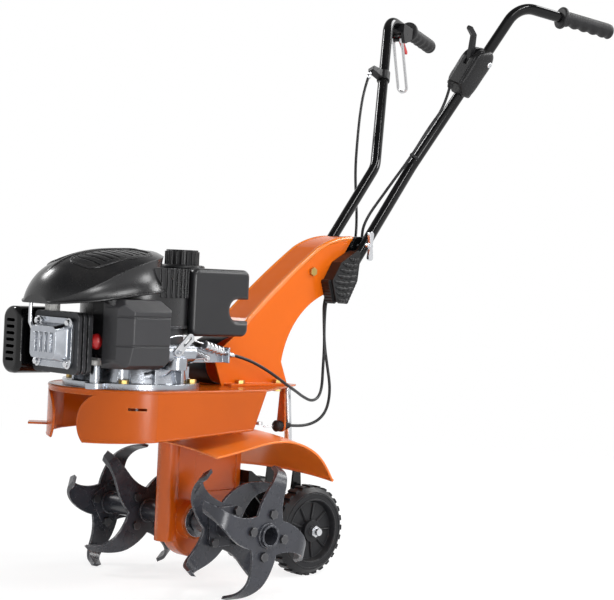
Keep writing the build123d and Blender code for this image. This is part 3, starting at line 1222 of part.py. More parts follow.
def fuel_cap():
    """Ribbed cap over the tank's neck."""
    low, high = CAP_Z
    cap = bar_z(CAP_R - CAP_RIB_R, low, high, 0, 0)
    for index in range(CAP_RIBS):
        angle = math.radians(index * 360 / CAP_RIBS)
        spot = ((CAP_R - CAP_RIB_R) * math.cos(angle), (CAP_R - CAP_RIB_R) * math.sin(angle))
        cap += bar_z(CAP_RIB_R, low, high - CAP_RIB_R, *spot)
    cap -= bar_z(NECK_R + PART_GAP, low, high - CAP_TOP_T, 0, 0)
    return Pos(*CAP_XY, 0) * cap


def air_filter():
    """Base panel with the primer's recess, bevelled cover and the primer's bulb."""
    clear = bar_z(DRUM_R + PART_GAP, 0, 2 * DRUM_TOP_Z, 0, CRANK_Y)
    base = block((FILTER_BASE_X, FILTER_X[0]), (FILTER_BASE_Y, FILTER_Y[1]), FILTER_BASE_Z)
    base = fillet(base.edges().filter_by(Axis.Y), CASE_WALL) - clear
    x, z = BULB_X, DECK_TOP_Z + BULB_LIFT
    recess = FILTER_BASE_Y + 2 * BULB_TRAVEL
    base -= bar_y(BULB_R + PART_GAP, FILTER_BASE_Y, recess, x, z)
    cover = block(FILTER_X, FILTER_Y, FILTER_Z)
    cover = chamfer(cover.faces().sort_by(Axis.X)[-1].edges(), FILTER_BEVEL)
    low = FILTER_Z[0] + FILTER_GROOVE_LIFT
    groove_zs = (low, low + FILTER_GROOVE_W)
    deep = FILTER_GROOVE_DEPTH
    core = block((FILTER_X[0], FILTER_X[1] - deep), (FILTER_Y[0] + deep, FILTER_Y[1] - deep), groove_zs)
    core = chamfer(core.faces().sort_by(Axis.X)[-1].edges().filter_by(Axis.Z), FILTER_BEVEL)
    cover -= block(FILTER_X, FILTER_Y, groove_zs) - core
    cover -= clear
    dome_y = FILTER_BASE_Y - BULB_OUT + BULB_R
    rear = recess - BULB_TRAVEL - PART_GAP
    bulb = bar_y(BULB_R, dome_y, rear, x, z)
    bulb += Pos(x, dome_y, z) * Sphere(BULB_R) - bar_y(2 * BULB_R, dome_y, dome_y + 2 * BULB_R, x, z)
    return {"air_filter_base": base, "air_filter_cover": cover, "primer_bulb": bulb}


def oil_dipstick():
    """Cap on the oil filler's neck with a finger bar, and the stick inside the neck."""
    collar = OIL_NECK_R + CASE_WALL / 2
    cap = bar_z(collar, OIL_NECK_TOP_Z + PART_GAP, OIL_NECK_TOP_Z + OIL_NECK_R, 0, 0)
    cap += Pos(0, 0, OIL_NECK_TOP_Z + OIL_NECK_R + CASE_WALL / 2) * Box(2 * collar, CASE_WALL, CASE_WALL)
    cap += bar_z(CASE_WALL / 2, DECK_TOP_Z + 2 * FLANGE_T, OIL_NECK_TOP_Z + OIL_NECK_R, 0, 0)
    return Pos(*OIL_NECK_XY, 0) * cap


def carburettor():
    """Carburettor behind the air filter, its float bowl, and the plate that holds the cable."""
    front = FILTER_Y[1]
    body = bar_y(CARB_R, front, CARB_END_Y, CARB_X, CARB_Z)
    middle = (front + CARB_END_Y) / 2
    bowl_foot = SUMP_TOP_Z - SUMP_RIB_T + PART_GAP
    body += bar_z(CARB_R + CASE_WALL, bowl_foot, CARB_Z - CARB_R / 2, CARB_X, middle)
    body += bar_x(CARB_R - CASE_WALL, 0, CARB_X, middle, CARB_Z)
    plate_half = CARB_R + CASE_WALL / 2
    plate_xs = (THROTTLE_ROUTE[-1][0] - CASE_WALL, THROTTLE_ROUTE[-1][0] - CASE_WALL + FIN_T)
    plate_zs = (CARB_Z - plate_half, CARB_Z + plate_half / 2)
    end_y = THROTTLE_ROUTE[-1][1] - FIN_T
    body += block((plate_xs[0], CARB_X), (CARB_END_Y, CARB_END_Y + CASE_WALL), plate_zs)
    body += block(plate_xs, (CARB_END_Y, end_y), plate_zs)
    body += block((plate_xs[0], plate_xs[0] + 4 * CASE_WALL), (end_y - FIN_T, end_y), plate_zs)
    body -= bar_z(BLOCK_R + SEAT_GAP, 0, BLOCK_TOP_Z - BLOCK_RIM_T, 0, CRANK_Y)
    body -= bar_z(FLANGE_R - 2 * FLANGE_T, 0, SUMP_TOP_Z, 0, CRANK_Y)
    return body + bar_x(ARM_PIN_R, CARB_X, CARB_X + CARB_R + 2 * CASE_WALL, *ARM_PIVOT_YZ)


def throttle_arm():
    """Slotted arm on the carburettor's pin."""
    y, z = ARM_PIVOT_YZ
    angle = math.radians(ARM_DEG)
    tip = (y + ARM_L * math.cos(angle), z + ARM_L * math.sin(angle))
    wide = ARM_PIN_R + CASE_WALL
    face = link((y, z), tip, wide, wide) - Pos(y, z) * Circle(ARM_PIN_R + RUN_GAP)
    slot_start = (y + ARM_L / 2 * math.cos(angle), z + ARM_L / 2 * math.sin(angle))
    face -= link(slot_start, tip, CASE_WALL / 2, CASE_WALL / 2)
    low = CARB_X + CARB_R + PART_GAP
    return slab_x(face, low, low + FIN_T)


def tube_point(share):
    """Point on the left tube's upper run, at a share of the way from knee to crown."""
    return Vector(*KNEE) + (Vector(*CROWN) - Vector(*KNEE)) * share


def control_plane(origin, along, towards):
    """Plane whose x points square to a tube, towards a side, and whose y runs along the tube."""
    square = (towards - along * towards.dot(along)).normalized()
    return Plane(origin=origin, x_dir=square, z_dir=square.cross(along))


UPPER_RUN = (Vector(*CROWN) - Vector(*KNEE)).normalized()
GRIP_RUN = (Vector(*TUBE_END) - Vector(*CROWN)).normalized()
THROTTLE_PLANE = control_plane(tube_point(THROTTLE_AT), UPPER_RUN, FRONT)
STOP_PLANE = control_plane(tube_point(STOP_AT), UPPER_RUN, FRONT)
CLUTCH_PLANE = control_plane(Vector(*CROWN), GRIP_RUN, -UP)


def left_tube():
    """Bent tube from its socket up to the grip."""
    pivot, knee = Vector(*PIVOT), Vector(*KNEE)
    foot = pivot + (knee - pivot) * ((TUBE_FOOT_Z - PIVOT[2]) / (KNEE[2] - PIVOT[2]))
    path = FilletPolyline(tuple(foot), KNEE, CROWN, TUBE_END, radius=[KNEE_R, CROWN_R])
    tube = swept(Circle(TUBE_R) - Circle(TUBE_R - TUBE_WALL), path)
    return tube - bar_x(PIVOT_R + RUN_GAP, 0, 2 * PIVOT[0], *PIVOT[1:])


def left_grip():
    """Ribbed rubber sleeve with a thumb collar, over the tube's end."""
    bore = TUBE_R + SEAT_GAP
    step = (GRIP_L - 2 * GRIP_COLLAR_L) / GRIP_RIBS
    outline = [
        (bore, -GRIP_L), (GRIP_COLLAR_R, -GRIP_L), (GRIP_COLLAR_R, -GRIP_L + GRIP_COLLAR_L),
        (GRIP_R, -GRIP_L + GRIP_COLLAR_L),
    ]
    for index in range(GRIP_RIBS):
        low = -GRIP_L + 1.5 * GRIP_COLLAR_L + index * step
        outline += [
            (GRIP_R, low), (GRIP_R - GRIP_RIB_H, low + step / 4),
            (GRIP_R - GRIP_RIB_H, low + step / 2), (GRIP_R, low + step * 3 / 4),
        ]
    outline += [
        (GRIP_R, GRIP_END_T - GRIP_RIB_H), (GRIP_R - GRIP_RIB_H, GRIP_END_T),
        (0, GRIP_END_T), (0, 0), (bore, 0),
    ]
    sleeve = revolve(Plane.XZ * polygon(*outline), Axis.Z)
    return Plane(origin=TUBE_END, z_dir=GRIP_RUN) * sleeve


def handle_sockets():
    """Tapered cheeks round the tubes' feet, beaded along their edges."""
    corners = [(PIVOT[1] + back, PIVOT[2] + lift) for back, lift in SOCKET_CORNERS]
    face = fillet(polygon(*corners).vertices(), SOCKET_BEAD_R)
    cheek = slab_x(face, SOCKET_IN_X, SOCKET_OUT_X)
    for index in range(SOCKET_BEADS):
        share = (index + 0.5) / SOCKET_BEADS
        for (y0, z0), (y1, z1) in ((corners[3], corners[4]), (corners[5], corners[6])):
            spot = (y0 + share * (y1 - y0), z0 + share * (z1 - z0))
            cheek += bar_x(SOCKET_BEAD_R, SOCKET_IN_X, SOCKET_OUT_X - SOCKET_BEAD_R, *spot)
    pivot, knee = Vector(*PIVOT), Vector(*KNEE)
    foot = pivot + (knee - pivot) * ((TUBE_FOOT_Z - PIVOT[2]) / (KNEE[2] - PIVOT[2]))
    cheek -= swept(Circle(TUBE_R + SEAT_GAP), Line(tuple(foot), KNEE))
    solids = cheek.solids().sort_by(SortBy.VOLUME)
    return Compound([solids[-1], other_side(solids[-1])])


def clamp_bolt():
    """Long bolt through both tubes and the bracket's barrel, with a wing head."""
    outside = PIVOT[0] + TUBE_R + PART_GAP
    head = outside + SEAT_GAP
    screw = bar_x(PIVOT_R, -head - BOLT_NUT_H, head + BOLT_HEAD_H, 0, 0)
    screw += bar_x(BOLT_AF / 2, head, head + BOLT_HEAD_H, 0, 0)
    screw += Pos(-head - BOLT_NUT_H, 0, 0) * Rot(0, 90, 0) * extrude(hexagon(BOLT_AF), BOLT_NUT_H)
    wing = link((0, 0), (0, 1.5 * BOLT_AF), BOLT_HEAD_H / 2, BOLT_HEAD_H)
    wing += link((0, 0), (0, -1.5 * BOLT_AF), BOLT_HEAD_H / 2, BOLT_HEAD_H)
    screw += slab_x(wing, head + BOLT_HEAD_H / 2, head + 1.5 * BOLT_HEAD_H)
    return Pos(0, *PIVOT[1:]) * screw


def throttle_control():
    """Moulded housing clamped on the left tube, and the lever that swings in its slot."""
    half = THROTTLE_HALF_W
    behind = [(-TUBE_R - out, along) for out, along in THROTTLE_BACK]
    outline = polygon(*behind, *THROTTLE_FACE)
    outline = fillet(outline.vertices(), TUBE_R / 2)
    housing = extrude(outline, half, both=True)
    for end in (0, -1):
        housing = fillet(housing.faces().sort_by(Axis.Z)[end].edges(), THROTTLE_EDGE_R)
    pivot = (THROTTLE_PIVOT, 0)
    slot_half = THROTTLE_LEVER_T / 2 + PART_GAP
    boss_r = 2 * THROTTLE_LEVER_PIN_R + PART_GAP
    boss = Pos(*pivot) * Circle(boss_r)
    sector = Pos(*pivot) * polygon((-boss_r, 0), *THROTTLE_ROOM, (-boss_r, THROTTLE_ROOM_L))
    housing -= extrude(sector + boss, slot_half, both=True)
    housing -= Rot(90, 0, 0) * Cylinder(TUBE_R + SEAT_GAP, 20 * TUBE_R)
    housing += Pos(*pivot) * Cylinder(THROTTLE_LEVER_PIN_R, 2 * half)
    face = link(pivot, THROTTLE_TIP, 1.5 * THROTTLE_LEVER_PIN_R, THROTTLE_LEVER_PIN_R)
    face += link(THROTTLE_TIP, THROTTLE_HOOK, THROTTLE_LEVER_PIN_R, THROTTLE_LEVER_PIN_R)
    face += Pos(*pivot) * Circle(2 * THROTTLE_LEVER_PIN_R)
    face -= Pos(*pivot) * Circle(THROTTLE_LEVER_PIN_R + RUN_GAP)
    lever = extrude(face, THROTTLE_LEVER_T / 2, both=True)
    start, follow = Vector(*THROTTLE_ROUTE[0]), Vector(*THROTTLE_ROUTE[1])
    start -= (follow - start).normalized() * PART_GAP
    entry = swept(Circle(CABLE_R + PART_GAP), Line(tuple(start), tuple(follow)))
    return {"throttle_housing": THROTTLE_PLANE * housing - entry, "throttle_lever": THROTTLE_PLANE * lever}


def clutch_control():
    """Bracket under the right grip, its wire lever and the catch that holds it."""
    pivot, lock = CLUTCH_PIVOT, LOCK_PIVOT
    end, lock_end = CLUTCH_END, LOCK_END
    wide = 2 * CLUTCH_PIN_R
    ear_half = CLUTCH_HALF_W + CLUTCH_WIRE_R + PART_GAP
    ear = link((TUBE_R + wide, pivot[1] - wide), pivot, wide, wide)
    ear += link((TUBE_R + wide, lock[1] + wide), pivot, wide, wide)
    bracket = extrude(ear, ear_half + 2 * CLUTCH_WIRE_R, both=True) - extrude(ear, ear_half, both=True)
    band = polygon(
        (0, pivot[1] - 2 * wide), (TUBE_R + wide, pivot[1] - 2 * wide),
        (TUBE_R + wide, lock[1] + 2 * wide), (0, lock[1] + 2 * wide),
    )
    bracket += extrude(band, ear_half + 2 * CLUTCH_WIRE_R, both=True)
    room = link(pivot, (3 * pivot[0], pivot[1]), 2 * wide, 2 * wide)
    room += link(lock, lock_end, 2 * LOCK_PIN_R + PART_GAP, wide)
    bracket -= extrude(room, ear_half, both=True)
    bracket -= Rot(90, 0, 0) * Pos(0, 0, -GRIP_L / 2) * Cylinder(TUBE_R + SEAT_GAP, 2 * GRIP_L)
    pin_l = 2 * (ear_half + 2 * CLUTCH_WIRE_R)
    bracket += Pos(*pivot) * Cylinder(CLUTCH_PIN_R, pin_l)
    bracket += Pos(*lock) * Cylinder(LOCK_PIN_R, pin_l)

    legs = FilletPolyline(
        (*pivot, CLUTCH_HALF_W), (*end, CLUTCH_HALF_W), (*end, -CLUTCH_HALF_W), (*pivot, -CLUTCH_HALF_W),
        radius=CLUTCH_HALF_W - PART_GAP,
    )
    lever = swept(Circle(CLUTCH_WIRE_R), legs)
    for side in (-1, 1):
        eye = Cylinder(2 * CLUTCH_PIN_R - PART_GAP, 1.5 * CLUTCH_WIRE_R)
        lever += Pos(*pivot, side * CLUTCH_HALF_W) * eye
    lever -= Pos(*pivot) * Cylinder(CLUTCH_PIN_R + RUN_GAP, pin_l)

    face = link(lock, lock_end, 2 * LOCK_PIN_R, 1.5 * LOCK_PIN_R)
    face -= Pos(*lock) * Circle(LOCK_PIN_R + RUN_GAP)
    catch = extrude(face, LOCK_T / 2, both=True)
    pieces = {"clutch_bracket": bracket, "clutch_lever": lever, "clutch_lock": catch}
    return {name: other_side(CLUTCH_PLANE * piece) for name, piece in pieces.items()}


def cable_stop():
    """Moulded wedge in front of the right tube that holds the clutch cable's end."""
    nose = STOP_OUT + CABLE_R
    outline = polygon((0, -TUBE_R / 2), (0, TUBE_R * 3 / 2), (nose, TUBE_R), (nose, 0))
    wedge = extrude(fillet(outline.vertices(), CABLE_R), TUBE_R * 3 / 4, both=True)
    wedge += Pos(0, TUBE_R / 2, 0) * Rot(90, 0, 0) * Cylinder(TUBE_R + STOP_COLLAR_T, 2 * TUBE_R)
    wedge -= Rot(90, 0, 0) * Cylinder(TUBE_R + SEAT_GAP, 10 * TUBE_R)
    return other_side(STOP_PLANE * wedge)


def cable(route):
    """Tube along a route, each corner's arc as large as its two runs allow."""
    points = [Vector(*point) for point in route]
    radii = []
    for before, here, after in zip(points, points[1:], points[2:]):
        turn = math.radians((here - before).get_angle(after - here))
        shorter = min((here - before).length, (after - here).length)
        radii.append(CORNER_SHARE * shorter / math.tan(turn / 2))
    path = FilletPolyline(*[tuple(point) for point in route], radius=radii)
    tube = swept(Circle(CABLE_R), path)
    return tube


def clutch_cable():
    """Cable from the stop on the right tube to the boot under the deck, with its bare wire."""
    tube = cable(CLUTCH_ROUTE)
    x, z = CLUTCH_WIRE_X, CLUTCH_WIRE_Z
    low, high = BOOT_FRONT_Y, BOOT_REAR_Y
    middle = (low + high) / 2
    boot = bar_y(4 * CABLE_R, middle, high, x, z)
    boot += bar_y(2 * CABLE_R - SEAT_GAP, low, middle, x, z)
    wire_end = TENSIONER_TAIL_XY[1] + TENSIONER_HALF_W
    return tube + boot + bar_y(CABLE_R / 2, wire_end, low, x, z)


def main():
    """Build every piece, move it to the shared origin and write one file a piece."""
    os.makedirs("parts", exist_ok=True)
    tube = left_tube()
    grip = left_grip()
    pieces = {
        "deck": deck(),
        "mast": mast(),
        "frame_bolts": frame_bolts(),
        "handle_bracket": handle_bracket(),
        "tine_hood": hood(),
        "wheel_bracket": wheel_bracket(),
        "stay_rod": stay_rod(),
        "engine_sump": engine_sump(),
        "spark_plug": spark_plug(),
        "cowl_stay": cowl_stay(),
        "muffler": muffler(),
        "engine_cowl": engine_cowl(),
        "fuel_tank": fuel_tank(),
        "fuel_cap": fuel_cap(),
        "oil_dipstick": oil_dipstick(),
        "carburettor": carburettor(),
        "throttle_arm": throttle_arm(),
        "left_handle_tube": tube,
        "right_handle_tube": other_side(tube),
        "left_grip": grip,
        "right_grip": other_side(grip),
        "handle_sockets": handle_sockets(),
        "clamp_bolt": clamp_bolt(),
        "cable_stop": cable_stop(),
        "throttle_cable": cable(THROTTLE_ROUTE),
        "clutch_cable": clutch_cable(),
    }
    groups = (
        tine_pieces(), drive_pieces(), tensioner(), gear_case(), wheels(),
        engine_castings(), crank_pieces(), air_filter(),
        throttle_control(), clutch_control(),
    )
    for group in groups:
        pieces.update(group)
    for name, shape in pieces.items():
        export_step(Pos(0, ORIGIN_SHIFT_Y, 0) * shape, f"parts/{name}.step")
    print(f"{len(pieces)} pieces, tine axis at z = {TINE_AXIS_Z:.2f}")


if __name__ == "__main__":
    main()
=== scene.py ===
"""Looks of the garden tiller: finishes, dressed pieces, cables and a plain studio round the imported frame.

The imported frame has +Z up, the engine's nose at -Y, the handlebar at +Y and the machine's left side at +X.
Shapes are drawn in millimetres about the tine axis, and become metres of that frame when a piece is made.
"""
from __future__ import annotations

import logging
import math
from collections.abc import Iterable
from dataclasses import dataclass, replace
from enum import Enum
from functools import reduce

import bmesh
import bpy
import numpy as np
from mathutils import Matrix, Vector

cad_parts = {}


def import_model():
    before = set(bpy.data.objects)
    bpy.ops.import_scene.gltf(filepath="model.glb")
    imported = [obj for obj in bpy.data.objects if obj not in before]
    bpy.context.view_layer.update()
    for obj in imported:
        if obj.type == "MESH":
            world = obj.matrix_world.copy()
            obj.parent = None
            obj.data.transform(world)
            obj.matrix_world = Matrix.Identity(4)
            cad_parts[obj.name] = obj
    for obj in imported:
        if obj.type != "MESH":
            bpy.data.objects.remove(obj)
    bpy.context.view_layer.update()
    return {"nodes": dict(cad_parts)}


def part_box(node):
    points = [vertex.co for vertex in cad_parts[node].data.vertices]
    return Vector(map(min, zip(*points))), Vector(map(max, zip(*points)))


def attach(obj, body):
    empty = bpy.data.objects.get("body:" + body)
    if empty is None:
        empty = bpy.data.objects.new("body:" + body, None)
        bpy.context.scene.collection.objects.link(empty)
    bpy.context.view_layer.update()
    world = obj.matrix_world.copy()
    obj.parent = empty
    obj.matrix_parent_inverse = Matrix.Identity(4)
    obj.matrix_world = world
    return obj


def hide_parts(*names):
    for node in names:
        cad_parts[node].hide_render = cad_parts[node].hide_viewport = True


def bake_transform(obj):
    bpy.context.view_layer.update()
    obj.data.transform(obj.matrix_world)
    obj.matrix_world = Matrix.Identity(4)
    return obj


LOG = logging.getLogger("tiller")
MM = 0.001
SHIFT_Y = -239.6
PHOTO_WIDTH = 614
DECK_Z = 315.0
CRANK_Y = -118.0
TINE_Z = 100.741
TUBE_KNEE = (44.5, 452.0, 699.0)
TUBE_CROWN = (158.0, 588.0, 993.0)
ASIDE, REARWARDS, UP = (1, 0, 0), (0, 1, 0), (0, 0, 1)
WHITE = (1.0, 1.0, 1.0, 1.0)

Color = tuple[float, float, float]
Point = tuple[float, float, float]
Pair = tuple[float, float]
Tree, Socket = bpy.types.NodeTree, bpy.types.NodeSocket


@dataclass
class Sketch:
    """Nodes being put into one tree."""

    # Places of the colour sockets among the Mix node's inputs and outputs.
    MIX_LOW, MIX_HIGH, MIX_RESULT = 6, 7, 2
    NOISE_ROUGHNESS = 0.55

    tree: Tree

    @classmethod
    def fresh(cls, owner: bpy.types.Material | bpy.types.World) -> Sketch:
        """Start with the owner's tree, emptied.

        Args:
            owner: the material or world.

        Returns:
            The sketch.
        """
        owner.use_nodes = True
        owner.node_tree.nodes.clear()
        return cls(owner.node_tree)

    def add(self, kind: str, inputs: dict | None = None, **settings: object) -> bpy.types.Node:
        """Add one shader node.

        Args:
            kind: the node's type, without Blender's prefix.
            inputs: values to set and sockets to link, by the input's name or number.
            settings: the node's own options.

        Returns:
            The node.
        """
        node = self.tree.nodes.new("ShaderNode" + kind)
        for name, value in settings.items():
            setattr(node, name, value)
        for key, value in (inputs or {}).items():
            if isinstance(value, Socket):
                self.tree.links.new(value, node.inputs[key])
            else:
                node.inputs[key].default_value = value
        return node

    def combine(self, operation: str, first: Socket | float, second: Socket | float) -> Socket:
        """Add one Math node, clamped where it multiplies, and give its result."""
        clamped = operation == "MULTIPLY"
        return self.add("Math", {0: first, 1: second}, operation=operation, use_clamp=clamped).outputs[0]

    def noise(self, scale: Socket | float, detail: float) -> Socket:
        """Add noise on Object coordinates.

        Args:
            scale: patches per metre.
            detail: octaves.

        Returns:
            The noise value's socket, about 0.5 in the mean.
        """
        place = self.add("TexCoord").outputs["Object"]
        inputs = {"Vector": place, "Scale": scale, "Detail": detail, "Roughness": self.NOISE_ROUGHNESS}
        return self.add("TexNoise", inputs).outputs["Fac"]

    def ramp(self, value: Socket, low: float, high: float, ends: Pair = (0.0, 1.0)) -> Socket:
        """Stretch a value smoothly.

        Args:
            value: the socket to stretch.
            low: level that becomes the first end.
            high: level that becomes the second end.
            ends: the levels wanted.

        Returns:
            The stretched value's socket.
        """
        inputs = {"Value": value, "From Min": low, "From Max": high, "To Min": ends[0], "To Max": ends[1]}
        return self.add("MapRange", inputs, interpolation_type="SMOOTHSTEP").outputs["Result"]

    def mix(self, mask: Socket, low: Socket | tuple, high: Socket | tuple) -> Socket:
        """Mix two colours by a mask, and give the colour: low at 0, high at 1."""
        node = self.add("Mix", {"Factor": mask, self.MIX_LOW: low, self.MIX_HIGH: high}, data_type="RGBA")
        return node.outputs[self.MIX_RESULT]


class Effect(Enum):
    """Shared shader effects, each one node group."""

    GRAIN = "surface_grain"
    WEAR = "edge_wear"
    DUST = "settled_dust"
    SCUFF = "rub_marks"


class Effects:
    """Draws each shared effect once and places it in the materials."""

    BEVEL_SAMPLES = 6
    EDGES, EDGE_PATCHES = (0.01, 0.12), (0.42, 0.62)
    UPWARD, DUST_PATCHES = (0.2, 1.0), (0.35, 0.75)
    STREAKS, SCUFF_PATCHES = (0.6, 0.72), (0.48, 0.66)
    STREAK_SCALE, STREAK_TURN = (1.0, 9.0, 5.0), (0.6, 0.3, 0.9)
    SCUFF_PATCH_SCALE = 18.0
    GRAIN_OCTAVES, TONE_OCTAVES, EDGE_OCTAVES = 3.0, 4.0, 5.0
    DUST_OCTAVES, STREAK_OCTAVES, SCUFF_OCTAVES = 6.0, 5.0, 3.0

    def __init__(self) -> None:
        """Start with no effect drawn."""
        self.made: dict[Effect, Tree] = {}

    def place(self, sketch: Sketch, kind: Effect, values: dict[str, float]) -> bpy.types.NodeOutputs:
        """Put an effect into a material.

        Args:
            sketch: the material's nodes.
            kind: which effect.
            values: input values that differ from the defaults.

        Returns:
            The effect's outputs.
        """
        if kind not in self.made:
            self.made[kind] = self.drawn(kind)
        return sketch.add("Group", values, node_tree=self.made[kind]).outputs

    def drawn(self, kind: Effect) -> Tree:
        """Draw one effect as a group with named inputs, their default values, and named outputs.

        Args:
            kind: which effect.

        Returns:
            The group.
        """
        tree = bpy.data.node_groups.new(kind.value, "ShaderNodeTree")
        defaults, results, draw = {
            Effect.GRAIN: ({"Scale": 900.0, "Tone Scale": 14.0}, ("Height", "Tone"), self.grain),
            Effect.WEAR: ({"Radius": 0.002, "Scale": 160.0}, ("Mask",), self.wear),
            Effect.DUST: ({"Scale": 30.0}, ("Mask",), self.dust),
            Effect.SCUFF: ({"Scale": 60.0}, ("Mask",), self.scuff),
        }[kind]
        for name, value in defaults.items():
            socket = tree.interface.new_socket(name=name, in_out="INPUT", socket_type="NodeSocketFloat")
            socket.default_value = value
        for name in results:
            tree.interface.new_socket(name=name, in_out="OUTPUT", socket_type="NodeSocketFloat")
        given, out = tree.nodes.new("NodeGroupInput"), tree.nodes.new("NodeGroupOutput")
        for name, socket in zip(results, draw(Sketch(tree), given.outputs)):
            tree.links.new(socket, out.inputs[name])
        return tree

    def grain(self, sketch: Sketch, given: bpy.types.NodeOutputs) -> tuple[Socket, ...]:
        """Fine relief at a set scale, and slow changes of tone over the piece."""
        relief = sketch.noise(given["Scale"], self.GRAIN_OCTAVES)
        return relief, sketch.noise(given["Tone Scale"], self.TONE_OCTAVES)

    def wear(self, sketch: Sketch, given: bpy.types.NodeOutputs) -> tuple[Socket, ...]:
        """Edges: the turn between the face's normal and a rounded normal, broken up by noise.

        Args:
            sketch: the group's nodes.
            given: the group's inputs.

        Returns:
            The mask's socket.
        """
        bevel = sketch.add("Bevel", {"Radius": given["Radius"]}, samples=self.BEVEL_SAMPLES)
        rounded = bevel.outputs["Normal"]
        face = sketch.add("NewGeometry").outputs["Normal"]
        dot = sketch.add("VectorMath", {0: rounded, 1: face}, operation="DOT_PRODUCT").outputs["Value"]
        edge = sketch.ramp(sketch.combine("SUBTRACT", 1.0, dot), *self.EDGES)
        patches = sketch.ramp(sketch.noise(given["Scale"], self.EDGE_OCTAVES), *self.EDGE_PATCHES)
        return (sketch.combine("MULTIPLY", edge, patches),)

    def dust(self, sketch: Sketch, given: bpy.types.NodeOutputs) -> tuple[Socket, ...]:
        """Dust that lies on faces that look upwards, in soft patches.

        Args:
            sketch: the group's nodes.
            given: the group's inputs.

        Returns:
            The mask's socket.
        """
        face = sketch.add("NewGeometry").outputs["Normal"]
        upward = sketch.ramp(sketch.add("SeparateXYZ", {0: face}).outputs["Z"], *self.UPWARD)
        patches = sketch.ramp(sketch.noise(given["Scale"], self.DUST_OCTAVES), *self.DUST_PATCHES)
        return (sketch.combine("MULTIPLY", upward, patches),)

    def scuff(self, sketch: Sketch, given: bpy.types.NodeOutputs) -> tuple[Socket, ...]:
        """Rub marks: fine stretched noise cut to thin streaks, inside a few patches.

        Args:
            sketch: the group's nodes.
            given: the group's inputs.

        Returns:
            The mask's socket.
        """
        place = sketch.add("TexCoord").outputs["Object"]
        turned = {"Vector": place, "Scale": self.STREAK_SCALE, "Rotation": self.STREAK_TURN}
        vector = sketch.add("Mapping", turned).outputs["Vector"]
        stretched = {"Vector": vector, "Scale": given["Scale"], "Detail": self.STREAK_OCTAVES}
        streak = sketch.add("TexNoise", stretched).outputs["Fac"]
        patches = sketch.ramp(sketch.noise(self.SCUFF_PATCH_SCALE, self.SCUFF_OCTAVES), *self.SCUFF_PATCHES)
        return (sketch.combine("MULTIPLY", sketch.ramp(streak, *self.STREAKS), patches),)


@dataclass(frozen=True)
class Finish:
    """One surface finish, as numbers for the shader that shows it."""

    LEAST_ROUGHNESS = 0.02

    name: str
    color: Color
    metallic: float = 0.0
    roughness: float = 0.5
    rough_spread: float = 0.12
    specular: float = 0.5
    coat: float = 0.0
    coat_roughness: float = 0.08
    grain_scale: float = 900.0
    grain_depth: float = 0.05
    grain_height: float = 0.0004
    tone_spread: float = 0.08
    tone_scale: float = 14.0
    edge_radius: float = 0.0012
    wear: float = 0.0
    wear_color: Color = (0.4, 0.4, 0.4)
    scuff: float = 0.0
    dust: float = 0.0
    dust_color: Color = (0.55, 0.5, 0.44)
    slot: str = ""

    def kin(self, name: str, color: Color, **changes: object) -> Finish:
        """Give a like finish of another name and colour, in the same slot.

        Args:
            name: its name.
            color: its colour.
            changes: other values that differ.

        Returns:
            The new finish.
        """
        return replace(self, name=name, color=color, slot=self.slot or self.name, **changes)

    def tinted(self, factor: float) -> tuple[float, ...]:
        """Give the finish's colour, made lighter or darker by a factor."""
        return (*[min(1.0, channel * factor) for channel in self.color], 1.0)

    def shade(self, effects: Effects) -> bpy.types.Material:
        """Build the material.

        Args:
            effects: the shared effects.

        Returns:
            The finished material.
        """
        material = bpy.data.materials.new(self.name)
        material.diffuse_color = (*self.color, 1.0)
        sketch = Sketch.fresh(material)
        scales = {"Scale": self.grain_scale, "Tone Scale": self.tone_scale}
        grain = effects.place(sketch, Effect.GRAIN, scales)
        dark, pale = self.tinted(1 - self.tone_spread), self.tinted(1 + self.tone_spread)
        color = sketch.mix(grain["Tone"], dark, pale)
        for kind, amount, over, values in (
            (Effect.SCUFF, self.scuff, self.wear_color, {}),
            (Effect.WEAR, self.wear, self.wear_color, {"Radius": 2 * self.edge_radius}),
            (Effect.DUST, self.dust, self.dust_color, {}),
        ):
            if amount:
                mask = effects.place(sketch, kind, values)["Mask"]
                color = sketch.mix(sketch.combine("MULTIPLY", mask, amount), color, (*over, 1.0))
        low = max(self.LEAST_ROUGHNESS, self.roughness - self.rough_spread)
        high = min(1.0, self.roughness + self.rough_spread)
        spread = sketch.add("MapRange", {"Value": grain["Tone"], "To Min": low, "To Max": high})
        rounded = sketch.add("Bevel", {"Radius": self.edge_radius}, samples=Effects.BEVEL_SAMPLES)
        bump = sketch.add("Bump", {"Strength": self.grain_depth, "Distance": self.grain_height,
                                   "Height": grain["Height"], "Normal": rounded.outputs["Normal"]})
        shader = sketch.add("BsdfPrincipled", {
            "Base Color": color, "Metallic": self.metallic, "Roughness": spread.outputs["Result"],
            "Specular IOR Level": self.specular, "Coat Weight": self.coat,
            "Coat Roughness": self.coat_roughness, "Normal": bump.outputs["Normal"],
        })
        sketch.add("OutputMaterial", {"Surface": shader.outputs["BSDF"]})
        return material


